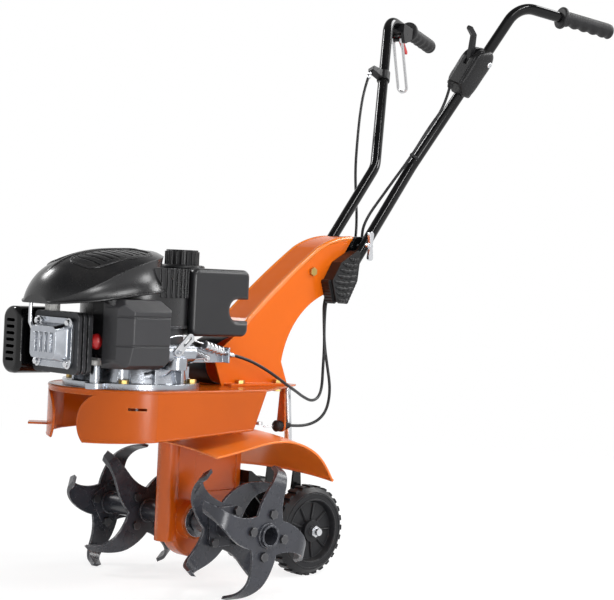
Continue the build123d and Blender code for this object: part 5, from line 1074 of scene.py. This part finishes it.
@dataclass
class FilterCover(SubAssembly):
    """Moulded cover of the air filter: a panel with sloped edges and two lines across."""

    back_x: float = 72.0
    face_x: float = 124.0
    y_span: Pair = (-232.0, -140.0)
    z_span: Pair = (348.0, 451.0)
    y_slopes: tuple[Pair, ...] = ((-213.0, -0.95), (-145.0, 1.3))
    z_slopes: tuple[Pair, ...] = ((434.0, 1.1), (357.0, -1.5), (383.0, -0.15))
    corner: float = 11.0
    corner_slope: float = 5.0
    least_depth: float = 1.0
    y_steps: int = 72
    z_steps: int = 80
    lines: Pair = (383.0, 426.0)
    line_half: float = 1.1
    line_depth: float = 1.6
    line_flank: float = 1.6
    line_steps: tuple[float, ...] = (-1.7, -1.5, -0.7, -0.5, 0.5, 0.7, 1.5, 1.7)

    def face(self, y: np.ndarray, z: np.ndarray) -> np.ndarray:
        """Reach of the cover: the least of a few sloped planes, less a shallow groove along each line.

        Args:
            y: places along the machine.
            z: heights.

        Returns:
            How far out the cover stands at each place.
        """
        planes = [np.full_like(y, self.face_x)]
        for place, slopes in ((z, self.z_slopes), (y, self.y_slopes)):
            planes += [self.face_x - slope * (place - start) for start, slope in slopes]
        (front, rear), (low, high) = self.y_span, self.z_span
        ends, heights = (y - front, rear - y), (z - low, high - z)
        planes += [self.back_x + self.corner_slope * (e + h - self.corner / 2) for e in ends for h in heights]
        reach = np.min(planes, axis=0)
        for line in self.lines:
            groove = np.clip(self.line_flank - np.abs(z - line) / self.line_half, 0, 1)
            reach = reach - self.line_depth * groove
        return np.maximum(reach, self.back_x + self.least_depth)

    def shape(self) -> Shape:
        """Grid over the face, a wall round its border and a flat back.

        Returns:
            The closed cover.
        """
        fine = [line + step * self.line_half for line in self.lines for step in self.line_steps]
        z_line = np.unique(np.concatenate([np.linspace(*self.z_span, self.z_steps), fine]))
        y, z = np.meshgrid(np.linspace(*self.y_span, self.y_steps), z_line, indexing="ij")
        points = np.stack([self.face(y, z), y, z], axis=-1).reshape(-1, 3)
        index = np.arange(y.size).reshape(y.shape)
        corners = (index[:-1, :-1], index[1:, :-1], index[1:, 1:], index[:-1, 1:])
        quads = np.stack(corners, axis=-1).reshape(-1, 4)
        border = np.concatenate([index[:-1, 0], index[-1, :-1], index[:0:-1, -1], index[0, :0:-1]])
        rear = points[border] * (0, 1, 1) + (self.back_x, 0, 0)
        behind = len(points) + np.arange(len(border))
        wall = np.stack([border, np.roll(border, -1), np.roll(behind, -1), behind], axis=-1)
        return Shape(np.concatenate([points, rear]), [*quads.tolist(), *wall.tolist(), behind.tolist()])

    def parts(self) -> tuple[Part, ...]:
        """Give the cover."""
        stands_for = ("air_filter_cover",)
        return (Part("filter_cover_shell", self.shape(), Finishes.COVER_PLASTIC, "frame", stands_for),)


@dataclass
class EngineTrim(SubAssembly):
    """Engine's hardware: screws, gasket, tank collar, cable anchor, intake arm, rods and spring, and a dark
    panel in the mast's open front that is painted shade.
    """

    gasket_y: float = -264.0
    gasket_half: Pair = (45.6, 37.6)
    gasket_power: float = 0.28
    gasket_radius: float = 0.9
    gasket_steps: int = 96
    seat_y: float = -269.0
    bore_z: float = 382.0
    screw_half: Pair = (38.5, 30.5)
    cover_screw: Pair = (9.0, 6.0)
    cap_place: Point = (-8.0, -20.0, 500.6)
    collar: tuple[Pair, ...] = (
        (29.0, 0.0), (37.0, 0.0), (37.0, 3.0), (35.5, 5.0), (31.5, 5.8), (30.0, 4.8), (29.2, 2.5),
    )
    plate_seats: tuple[Point, ...] = ((79.0, -10.0, 373.0), (79.0, -34.0, 363.0), (79.0, -62.0, 371.0))
    plate_screw: Pair = (8.0, 5.0)
    anchor_ends: tuple[Point, Point] = ((87.0, -47.0, 384.0), (82.0, 2.0, 371.5))
    anchor_neck: Pair = (40.0, 2.6)
    anchor_caps: Pair = (3.0, 2.6)
    anchor_rings: tuple[float, float, float] = (6.2, 1.5, 9.0)
    anchor_steps: int = 60
    rods: tuple[tuple[Point, ...], ...] = (
        ((100.0, -128.0, 395.0), (94.0, -100.0, 398.0), (90.0, -74.0, 392.0), (88.0, -50.0, 386.0)),
        ((112.0, -118.0, 378.0), (104.0, -92.0, 364.0), (92.0, -66.0, 362.0), (82.0, -36.0, 363.0)),
    )
    rod_radius: float = 1.3
    curve_steps: int = 40
    intake: tuple[Point, ...] = (
        (74.0, -96.0, 366.0), (80.0, -108.0, 352.0), (78.0, -128.0, 340.0), (70.0, -150.0, 333.0),
    )
    intake_radius: tuple[float, float, float] = (9.0, 3.0, 2.2)
    intake_flange: Pair = (0.06, 0.07)
    intake_flat: float = 0.85
    # Line, half-width and flatness of the dark panel that is painted shade in the mast's open front.
    shade_panel_line: tuple[Pair, ...] = (
        (44.0, 317.5), (22.0, 324.0), (9.0, 344.0), (13.0, 367.0), (38.0, 386.0), (78.0, 400.0),
    )
    shade_panel_half: float = 29.0
    shade_panel_flat: float = 0.06
    spring_ends: tuple[Point, Point] = ((84.0, -34.0, 363.0), (84.0, -72.0, 377.0))
    spring_radius: float = 3.2
    spring_wire: float = 0.7
    spring_turns: int = 11
    turn_steps: int = 24
    spring_lead: float = 0.12
    spring_coiled: Pair = (0.1, 0.8)

    def gasket(self) -> Shape:
        """Thin dark line round the cover's seat: a squared ellipse.

        Returns:
            A bead round the seat.
        """
        wide, high = squared_circle(self.gasket_steps, self.gasket_power)
        half, tall = self.gasket_half
        path = np.stack([wide * half, np.full_like(wide, self.gasket_y), self.bore_z + high * tall], axis=-1)
        return Shape.bead(path, self.gasket_radius, REARWARDS, loop=True, sides=8)

    def cover_screws(self) -> Shape:
        """Four screws in the cover's corners.

        Returns:
            The screws.
        """
        wide, high = self.screw_half
        seats = ((x, self.seat_y, self.bore_z + z) for x in (-wide, wide) for z in (-high, high))
        return Shape.hex_screws(seats, (0, -1, 0), *self.cover_screw)

    def anchor(self) -> Shape:
        """Ribbed barrel that clamps the throttle cable: a turned profile with rings and a neck.

        Returns:
            The barrel.
        """
        start, end = np.array(self.anchor_ends)
        along = np.linspace(0, np.linalg.norm(end - start), self.anchor_steps)
        body, height, pitch = self.anchor_rings
        neck_from, neck_depth = self.anchor_neck
        rings = body + height * (np.sin(along * math.tau / pitch) > 0) - neck_depth * (along > neck_from)
        radius = np.r_[self.anchor_caps[0], rings, self.anchor_caps[1]]
        profile = np.column_stack([radius, np.r_[along[0], along, along[-1]]])
        return Shape.turned(start, end - start, profile, sides=20)

    def elbow(self) -> Shape:
        """Cast intake arm down to the crankcase: an ellipse carried along a bent path, wider with s^2.

        Returns:
            The arm, with a flange near its start.
        """
        share = np.linspace(0, 1, self.curve_steps)
        (least, growth, step), (middle, half) = self.intake_radius, self.intake_flange
        radius = least + growth * share**2 + step * (np.abs(share - middle) < half)
        return Shape.bead(through(self.intake, self.curve_steps), radius, UP, flat=self.intake_flat, sides=20)

    def shade_panel(self) -> Shape:
        """Thin dark panel that bulges from the mast's open front, painted shade that stands for the shadowed
        inside: a flat ellipse carried along the bulge.

        Returns:
            The panel of painted shade.
        """
        line = through(self.shade_panel_line, self.curve_steps)
        path = np.column_stack([np.zeros(len(line)), line])
        return Shape.bead(path, self.shade_panel_half, ASIDE, flat=self.shade_panel_flat, sides=24)

    def spring(self) -> Shape:
        """Coil drawn in to its line at both ends: p(t) = line(t) + R(t) (n cos kt + b sin kt).

        Returns:
            The coil.
        """
        low, high = np.array(self.spring_ends)
        first, second = Shape.square_to(high - low)
        share = np.linspace(0, 1, self.turn_steps * self.spring_turns)[:, None]
        reach = self.spring_radius * np.clip(np.minimum(share, 1 - share) / self.spring_lead, 0, 1)
        begin, coiled = self.spring_coiled
        angle = math.tau * self.spring_turns * np.clip((share - begin) / coiled, 0, 1)
        path = low + share * (high - low) + reach * (first * np.cos(angle) + second * np.sin(angle))
        return Shape.bead(path, self.spring_wire, unit(high - low), sides=6)

    def parts(self) -> tuple[Part, ...]:
        """Give the engine's hardware.

        Returns:
            The parts.
        """
        paths = (through(rod, self.curve_steps) for rod in self.rods)
        links = Shape.together(Shape.bead(path, self.rod_radius, UP, sides=8) for path in paths)
        collar = Shape.turned(self.cap_place, UP, self.collar, sides=56)
        plate_screws = Shape.hex_screws(self.plate_seats, ASIDE, *self.plate_screw)
        return (
            Part("cover_gasket", self.gasket(), Finishes.GRIP, "frame"),
            Part("cover_screws", self.cover_screws(), Finishes.ZINC, "frame"),
            Part("tank_collar", collar, Finishes.BLACK_PLASTIC, "frame"),
            Part("plate_screws", plate_screws, Finishes.ZINC, "frame"),
            Part("cable_anchor", self.anchor(), Finishes.ZINC, "frame"),
            Part("governor_links", links, Finishes.ZINC, "frame"),
            Part("intake_elbow", self.elbow(), Finishes.CAST, "frame"),
            # Black sheet in the mast's open front, where there is only shade: painted shade.
            Part("mast_shade_panel", self.shade_panel(), Finishes.BLACK_PLASTIC, "frame"),
            Part("governor_spring", self.spring(), Finishes.ZINC, "frame"),
        )


@dataclass
class FrameTrim(SubAssembly):
    """Folded and rolled edges of the orange sheet metal."""

    mast_half: float = 32.0
    chest: tuple[Pair, Pair] = ((78.0, 90.6), (92.0, 109.0))
    bow: tuple[Pair, Pair, Pair] = ((92.0, 109.0), (172.0, 177.0), (245.0, 231.0))
    top: tuple[Pair, Pair, Pair] = ((245.0, 231.0), (288.0, 248.0), (327.0, 253.0))
    fold_radius: float = 4.6
    fold_inset: float = 3.3
    fold_steps: tuple[int, int, int] = (6, 40, 24)
    hood_half: float = 140.0
    hood_crown: float = 12.0
    hood_lift: float = 1.2
    hood_line: tuple[Pair, ...] = (
        (-57.0, 112.4), (-8.0, 120.4), (40.0, 129.4), (95.0, 131.4), (140.0, 118.4), (176.0, 91.4),
        (194.0, 66.4),
    )
    hood_end_slope: float = -62.0
    hood_start: float = 1.0
    hood_beads: Pair = (2.6, 2.0)
    hood_steps: tuple[int, int] = (60, 70)
    skirt_radius: float = 127.0
    skirt_half: float = 120.0
    skirt_foot: tuple[Point, Point, Point] = (
        (0.0, -245.0, 236.0), (120.0, 34.0, 253.0), (120.0, 58.0, 312.0),
    )
    scoop_edge: tuple[Pair, Pair, Pair] = ((59.0, 306.0), (31.0, 271.0), (41.0, 236.0))
    rim_bead: Pair = (2.6, 1.7)
    rim_steps: tuple[int, int] = (30, 90)
    lip_bead: Pair = (2.2, 1.5)
    lip_steps: tuple[int, int, int, int] = (24, 40, 31, 10)

    def mast_fold(self) -> Shape:
        """Rounded fold a little inside the mast's left front edge: chest, bowed front and top.

        Returns:
            A bead along the left edge.
        """
        chest, bow, top = self.fold_steps
        lower = np.linspace(*self.chest, chest)[:-1]
        line = np.concatenate([lower, arc(*self.bow, bow), arc(*self.top, top)[1:-1]])
        slope = unit(np.gradient(line, axis=0))
        line = line + self.fold_inset * np.stack([slope[:, 1], -slope[:, 0]], axis=-1)
        x = np.full(len(line), self.mast_half - self.fold_inset)
        path = np.stack([x, line[:, 0], DECK_Z + line[:, 1]], axis=-1)
        return Shape.bead(path, self.fold_radius, ASIDE, sides=16)

    def hood_lips(self) -> Shape:
        """Rolled rear edge of the hood, an arc across, and its two side edges, eased through the hood's line.

        Returns:
            The three beads.
        """
        tilt, (across, along) = math.radians(self.hood_end_slope), self.hood_steps
        x = np.linspace(-self.hood_half, self.hood_half, across)
        rise = self.hood_crown * (1 - (x / self.hood_half) ** 2) + self.hood_lift
        y, lift = self.hood_line[-1]
        rear = np.stack([x, y - rise * math.sin(tilt), TINE_Z + lift + rise * math.cos(tilt)], axis=-1)
        knots = np.asarray(self.hood_line)
        wanted = np.linspace(knots[0, 0] + self.hood_start, knots[-1, 0], along)
        lifts = eased(knots[:, 0], knots[:, 1:], wanted)[:, 0]
        edge_x = np.full_like(wanted, self.hood_half)
        side = np.stack([edge_x, wanted, TINE_Z + lifts + self.hood_lift], axis=-1)
        rear_radius, side_radius = self.hood_beads
        return Shape.bead(rear, rear_radius, UP) + Shape.bead(side, side_radius, ASIDE, sides=10).both_sides()

    def skirt_front(self, x: np.ndarray | float, inset: float) -> np.ndarray:
        """Give the place of the skirt's round front at a width: y = crank - sqrt(r^2 - x^2)."""
        return CRANK_Y - np.sqrt((self.skirt_radius - inset) ** 2 - x**2)

    def deck_rim(self) -> Shape:
        """Rounded fold between deck plate and skirt: straight side, circle's arc in front, straight side.

        Returns:
            A bead round the plate.
        """
        (radius, inset), (straight, round_front) = self.rim_bead, self.rim_steps
        half = self.skirt_half - inset
        rear, side = self.skirt_foot[2][1], self.skirt_front(half, inset)
        left = np.linspace((half, rear), (half, side), straight)[:-1]
        nose = (0.0, CRANK_Y - self.skirt_radius + inset)
        front = arc((half, side), nose, (-half, side), round_front)
        plan = np.concatenate([left, front, left[::-1] * (-1, 1)])
        return Shape.bead(np.column_stack([plan, np.full(len(plan), DECK_Z - inset)]), radius, UP)

    def skirt_lip(self) -> Shape:
        """Rolled edge of the left skirt: down the scoop's arc, along the rising foot and up behind.

        Returns:
            A bead along the left skirt.
        """
        (radius, inset), (down, bent, straight, rising) = self.lip_bead, self.lip_steps
        half, bow = self.skirt_half - inset, self.skirt_radius - inset
        nose, heel, top = (np.asarray(corner) for corner in self.skirt_foot)
        scoop = arc(*self.scoop_edge, down)
        edge = np.column_stack([scoop[:, 0], self.skirt_front(scoop[:, 0], inset), scoop[:, 1]])
        round_x = bow * np.sin(np.linspace(math.asin(scoop[-1, 0] / bow), math.asin(half / bow), bent)[1:])
        straight_y = np.linspace(self.skirt_front(half, inset), heel[1], straight)[1:]
        x = np.append(round_x, np.full_like(straight_y, half))
        y = np.append(self.skirt_front(round_x, inset), straight_y)
        low = np.column_stack([x, y, nose[2] + (heel[2] - nose[2]) * (y - nose[1]) / (heel[1] - nose[1])])
        behind = np.linspace(heel, top, rising)[1:] - (inset, 0, 0)
        return Shape.bead(np.concatenate([edge, low, behind]), radius, (1, -1, 0), sides=10)

    def parts(self) -> tuple[Part, ...]:
        """Give the rolled edges of the deck, the mast's folds and the hood's lips, dressed in copies of the
        orange paint with painted shade, a painted highlight and painted light.

        Returns:
            The parts.
        """
        return (
            Part("deck_lips", self.deck_rim() + self.skirt_lip().both_sides(), Finishes.DECK_ORANGE_PAINTED_SHADE, "frame"),
            Part("mast_folds", self.mast_fold().both_sides(), Finishes.FOLD_ORANGE_PAINTED_HIGHLIGHT, "frame"),
            Part("hood_lips", self.hood_lips(), Finishes.HOOD_ORANGE_PAINTED_LIGHT, "frame"),
        )


@dataclass
class RunningGear(SubAssembly):
    """Rings and ribs of the wheels, and weld beads of the tine hubs."""

    wheel: Point = (63.0, 214.527, 75.0)
    wheel_half: float = 17.0
    rings: tuple[Pair, ...] = ((52.0, 1.5), (61.5, 1.0))
    ribs: int = 9
    rib_span: Pair = (19.0, 45.5)
    rib_bead: Pair = (2.6, 0.8)
    rib_steps: int = 8
    web: float = 8.4
    weld_radius: float = 17.9
    weld_places: tuple[float, ...] = (87.0, 98.2, 190.0, 202.2)
    weld_bead: float = 1.7
    weld_ripples: tuple[Pair, Pair] = ((0.3, 26), (0.2, 5))
    weld_steps: int = 120

    @staticmethod
    def ring(centre: Point, radius: float, thick: float | np.ndarray, count: int = 96) -> Shape:
        """Ring about the X direction: a small circle carried round a large one."""
        around = np.stack([np.zeros(count), np.cos(circle(count)), np.sin(circle(count))], axis=-1)
        return Shape.bead(np.asarray(centre) + radius * around, thick, ASIDE, sides=8, loop=True)

    def wheel_trim(self) -> Shape:
        """Two rings on the outer wall, and radial ribs, flat beads evenly turned, in the dish.

        Returns:
            The left wheel's trim.
        """
        x, y, z = self.wheel
        shapes = [self.ring((x + self.wheel_half, y, z), radius, thick) for radius, thick in self.rings]
        radius, flat = self.rib_bead
        reach = np.linspace(*self.rib_span, self.rib_steps)[:, None]
        for turn in circle(self.ribs):
            way = np.array((0.0, math.cos(turn), math.sin(turn)))
            path = np.asarray((x + self.web, y, z)) + reach * way
            shapes.append(Shape.bead(path, radius, ASIDE, flat=flat, sides=10))
        return Shape.together(shapes)

    def welds(self) -> Shape:
        """Weld beads round the hub tube at both stars, their thickness rippled by two sines.

        Returns:
            The beads of both sides.
        """
        angle = circle(self.weld_steps)
        ripple = self.weld_bead + sum(depth * np.sin(waves * angle) for depth, waves in self.weld_ripples)
        places = ((x, 0.0, TINE_Z) for x in self.weld_places)
        beads = (self.ring(place, self.weld_radius, ripple, self.weld_steps) for place in places)
        return Shape.together(beads).both_sides()

    def parts(self) -> tuple[Part, ...]:
        """Give the wheels' and hubs' trim.

        Returns:
            The parts.
        """
        trim = self.wheel_trim()
        return (
            Part("left_wheel_trim", trim, Finishes.WHEEL, "left_transport_wheel"),
            Part("right_wheel_trim", trim.mirrored(), Finishes.WHEEL, "right_transport_wheel"),
            Part("hub_welds", self.welds(), Finishes.TINE_BLACK_WEAR_AND_GLINT, "tines"),
        )


@dataclass
class HandlebarTrim(SubAssembly):
    """Pleats on the handle cheeks, and the throttle housing's rounded cheeks, screw and cable boss."""

    pivot: Pair = (341.0, 553.0)
    cheek_x: float = 56.5
    lifts: Pair = (-22.0, -92.0)
    pleats: int = 8
    pleat_half: float = 3.4
    pleat_flat: float = 0.75
    pleat_sag: float = 3.0
    pleat_wave: float = 0.14
    pleat_waves: int = 4
    pleat_steps: int = 26
    pleat_tip: float = 0.03
    margin: float = 4.0
    front: tuple = ((-98.0, -62.0, -30.0, -6.0), (-72.0, -84.0, -64.0, -22.0))
    rear: tuple = ((-98.0, -60.0, -16.0, -6.0), (-45.0, -24.0, -19.0, -22.0))
    housing: Point = (112.6, 533.6, 875.4)
    housing_along: Point = (0.3307, 0.3963, 0.8566)
    housing_square: Point = (0.1427, -0.918, 0.3698)
    housing_edge: tuple[Pair, ...] = (
        (4.0, 38.0), (25.0, 28.0), (34.5, 8.0), (33.0, -22.0), (30.0, -43.0), (9.0, -54.0), (-8.0, -46.0),
        (-10.0, -10.0), (-9.0, 22.0),
    )
    housing_dome: tuple[Pair, ...] = (
        (0.98, 13.0), (0.98, 15.4), (0.955, 17.0), (0.89, 18.6), (0.76, 19.9), (0.55, 20.7), (0.25, 21.1),
    )
    housing_steps: int = 90
    screw_place: Pair = (17.0, 19.9)
    screw: tuple[Pair, ...] = ((5.2, -0.2), (5.4, 0.6), (4.9, 1.8), (3.4, 2.8), (1.6, 3.1), (1.5, 2.2))
    boss: tuple[Pair, ...] = (
        (2.8, -1.0), (6.4, -1.0), (6.4, 3.0), (5.0, 3.8), (5.0, 7.0), (4.2, 11.0), (2.8, 11.6),
    )

    def cheek(self) -> Shape:
        """Rows of pleats across the left cheek, from edge to edge, each sagging by a sine.

        A pleat's half-width is h sqrt(1 - (2 s - 1)^4) (1 + w cos(2 pi k s)), with k waves from edge to edge.

        Returns:
            The left cheek's pleats.
        """
        share = np.linspace(0, 1, self.pleat_steps)
        taper = np.sqrt(np.clip(1 - (2 * share - 1) ** 4, self.pleat_tip, 1))
        swell = self.pleat_half * taper * (1 + self.pleat_wave * np.cos(math.tau * self.pleat_waves * share))
        shapes = []
        for lift in np.linspace(*self.lifts, self.pleats):
            start = np.interp(lift, *self.front) + self.margin
            end = np.interp(lift, *self.rear) - self.margin
            y = self.pivot[0] + start + share * (end - start)
            z = self.pivot[1] + lift - self.pleat_sag * np.sin(np.pi * share)
            path = np.stack([np.full_like(y, self.cheek_x), y, z], axis=-1)
            shapes.append(Shape.bead(path, swell, UP, flat=self.pleat_flat))
        return Shape.together(shapes)

    def outwards(self) -> np.ndarray:
        """Give the direction that the throttle housing's outer face looks."""
        return unit(np.cross(self.housing_along, self.housing_square))

    def housing_cheek(self, sign: float) -> Shape:
        """Domed cheek: the housing's eased outline, drawn in towards its middle as it rises.

        Args:
            sign: 1 for the outer face, -1 for the inner one.

        Returns:
            The cheek's closed surface.
        """
        edge, overlap = np.asarray(self.housing_edge), 3
        turns = np.concatenate([edge[-overlap:], edge, edge[:overlap]])
        wanted = np.linspace(overlap, overlap + len(edge), self.housing_steps, endpoint=False)
        outline = eased(np.arange(float(len(turns))), turns, wanted)
        middle = outline.mean(axis=0)
        rows = np.asarray(self.housing_dome)[..., None, None]
        flat = middle + rows[:, 0] * (outline - middle)
        axes = np.array((self.housing_square, self.housing_along))
        return Shape.skin(np.asarray(self.housing) + flat @ axes + sign * rows[:, 1] * self.outwards())

    def parts(self) -> tuple[Part, ...]:
        """Give the handlebar's trim; the boss sits on the throttle cable's first stretch.

        Returns:
            The parts.
        """
        out, (rise, lift) = self.outwards(), self.screw_place
        seat = np.asarray(self.housing) + rise * np.asarray(self.housing_along) + lift * out
        start, after = np.asarray(Cables.throttle_route[:2], float)
        boss = Shape.turned(start, after - start, self.boss)
        domes = self.housing_cheek(1.0) + self.housing_cheek(-1.0)
        return (
            Part("cheek_pleats", self.cheek().both_sides(), Finishes.BLACK_PLASTIC, "handlebar"),
            Part("throttle_cheeks", domes, Finishes.BLACK_PLASTIC, "handlebar"),
            Part("throttle_screw", Shape.turned(seat, out, self.screw), Finishes.ZINC, "handlebar"),
            Part("throttle_boss", boss, Finishes.BLACK_PLASTIC, "handlebar"),
        )


@dataclass
class Studio:
    """Pale floor, soft lamps and the camera at the photograph's angle."""

    azimuth: float = 46.0
    pitch: float = 0.971
    roll: float = 2.692
    focal_px: float = 1700.0
    sensor: float = 36.0
    clip_end: float = 100.0
    target: Point = (0.0, 253.86, 456.233)
    distance: float = 2.901245
    floor_half: float = 30.0
    floor_lit: tuple[float, ...] = (0.86, 0.84, 0.82, 1.0)
    floor_seen: tuple[float, ...] = (0.26, 0.26, 0.26, 1.0)
    floor_glow: float = 0.8
    clear_radius: Pair = (1.0, 2.4)
    room_color: tuple[float, ...] = (0.95, 0.97, 1.0, 1.0)
    room_strength: float = 0.25
    sky_rise: Pair = (0.3, 0.72)
    sky_strength: Pair = (1.0, 0.16)
    lamps: tuple = (
        ("key_lamp", (2.9, -1.3, 2.9), (1.3, 1.3), 17.0),
        ("low_lamp", (2.15, -0.93, 0.48), (0.62, 0.8), 17.0),
        ("side_lamp", (2.0, 2.3, 2.1), (1.1, 1.1), 36.0),
        ("rear_lamp", (0.3, 2.8, 2.9), (1.5, 1.5), 50.0),
    )
    strips: tuple = (
        ("strip_lamp", (-2.54, -1.6, 2.4), (-2.45, -0.6, 2.95), 0.5, 46.0),
        ("fold_lamp", (2.35, -0.69, 2.93), (1.67, 0.93, 3.33), 0.3, 34.0),
    )

    @staticmethod
    def stand(name: str, data: bpy.types.ID, place: Vector,
              axes: tuple[Vector, Vector, Vector]) -> bpy.types.Object:
        """Stand a camera or lamp in the scene.

        Args:
            name: its name.
            data: the camera or lamp.
            place: where it stands, in metres.
            axes: its own X, Y and Z directions.

        Returns:
            The object.
        """
        holder = bpy.data.objects.new(name, data)
        holder.matrix_world = Matrix.Translation(place) @ Matrix(axes).transposed().to_4x4()
        bpy.context.scene.collection.objects.link(holder)
        return holder

    def camera(self) -> None:
        """Place the camera: its axes are turned by azimuth and pitch, then by the roll."""
        a, e, r = (math.radians(value) for value in (self.azimuth, self.pitch, self.roll))
        back = Vector((math.sin(a) * math.cos(e), -math.cos(a) * math.cos(e), math.sin(e)))
        level = Vector((math.cos(a), math.sin(a), 0.0))
        upright = back.cross(level)
        right = level * math.cos(r) + upright * math.sin(r)
        up = upright * math.cos(r) - level * math.sin(r)
        data = bpy.data.cameras.new("photo_camera")
        data.sensor_width = self.sensor
        data.lens = self.focal_px * self.sensor / PHOTO_WIDTH
        data.clip_end = self.clip_end
        place = Vector(at(self.target)) + back * self.distance
        bpy.context.scene.camera = self.stand("photo_camera", data, place, (right, up, back))

    def hang(self, name: str, place: Vector, size: Pair, watts: float, along: Vector) -> None:
        """Hang one flat lamp that faces the machine's middle.

        Args:
            name: the lamp's name.
            place: its middle, in metres.
            size: its width and length.
            watts: its power.
            along: the direction that its length follows.
        """
        data = bpy.data.lights.new(name, "AREA")
        data.shape = "ELLIPSE"
        data.size, data.size_y = size
        data.energy = watts
        back = (place - Vector(at(self.target))).normalized()
        across = along.cross(back).normalized()
        self.stand(name, data, place, (across, back.cross(across), back))

    @staticmethod
    def seen_or_lit(sketch: Sketch, seen: Socket, lit: Socket) -> Socket:
        """Mix shaders: one for rays seen directly, in a mirror or through glass, the other for the rest.

        Args:
            sketch: the material's or world's nodes.
            seen: shader for the first kind.
            lit: shader for the rest.

        Returns:
            The mixed shader's socket.
        """
        path = sketch.add("LightPath").outputs
        direct = sketch.combine("MAXIMUM", path["Is Camera Ray"], path["Is Glossy Ray"])
        direct = sketch.combine("MAXIMUM", direct, path["Is Transmission Ray"])
        return sketch.add("MixShader", {"Fac": direct, 1: lit, 2: seen}).outputs[0]

    def light(self) -> None:
        """Hang the lamps and set the world's pale light: white round the horizon, dim overhead."""
        for name, place, size, watts in self.lamps:
            self.hang(name, Vector(place), size, watts, Vector(UP))
        for name, start, end, width, watts in self.strips:
            low, high = Vector(start), Vector(end)
            self.hang(name, (low + high) / 2, (width, (high - low).length), watts, high - low)
        world = bpy.data.worlds.new("pale_room")
        sketch = Sketch.fresh(world)
        height = sketch.add("SeparateXYZ", {0: sketch.add("TexCoord").outputs["Generated"]}).outputs["Z"]
        strength = sketch.ramp(height, *self.sky_rise, self.sky_strength)
        seen = sketch.add("Background", {"Color": WHITE, "Strength": strength}).outputs[0]
        lit = sketch.add("Background", {"Color": self.room_color, "Strength": self.room_strength}).outputs[0]
        sketch.add("OutputWorld", {"Surface": self.seen_or_lit(sketch, seen, lit)})
        bpy.context.scene.world = world

    def floor(self) -> None:
        """Lay a wide pale floor that keeps the machine's shadow and is plain white far from it."""
        half = self.floor_half
        mesh = bpy.data.meshes.new("pale_floor")
        corners = [(-half, -half, 0), (half, -half, 0), (half, half, 0), (-half, half, 0)]
        mesh.from_pydata(corners, [], [(0, 1, 2, 3)])
        plane = bpy.data.objects.new("pale_floor", mesh)
        bpy.context.scene.collection.objects.link(plane)
        material = bpy.data.materials.new("pale_floor")
        sketch = Sketch.fresh(material)
        lit = sketch.add("BsdfDiffuse", {"Color": self.floor_lit}).outputs[0]
        shadow = sketch.add("BsdfDiffuse", {"Color": self.floor_seen}).outputs[0]
        glow = sketch.add("Emission", {"Strength": self.floor_glow}).outputs[0]
        near = sketch.add("AddShader", {0: shadow, 1: glow}).outputs[0]
        far = sketch.add("Emission").outputs[0]
        place = sketch.add("TexCoord").outputs["Object"]
        reach = sketch.add("VectorMath", {0: place}, operation="LENGTH").outputs["Value"]
        clear = sketch.ramp(reach, *self.clear_radius)
        seen = sketch.add("MixShader", {"Fac": clear, 1: near, 2: far}).outputs[0]
        sketch.add("OutputMaterial", {"Surface": self.seen_or_lit(sketch, seen, lit)})
        mesh.materials.append(material)

    def build(self) -> None:
        """Set up camera, lamps, floor and plain colours."""
        bpy.context.scene.view_settings.view_transform = "Standard"
        self.camera()
        self.light()
        self.floor()


def main() -> None:
    """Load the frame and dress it."""
    logging.basicConfig(level=logging.INFO, format="%(name)s: %(message)s")
    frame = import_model()
    finishes = Finishes()
    finishes.dress_frame(frame["nodes"])
    workshop = Workshop(finishes)
    Studio().build()
    for sub_assembly in (
        Cables, Grips, CowlTrim, FilterCover, EngineTrim, FrameTrim, RunningGear, HandlebarTrim,
    ):
        sub_assembly().build(workshop)


if __name__ == "__main__":
    main()
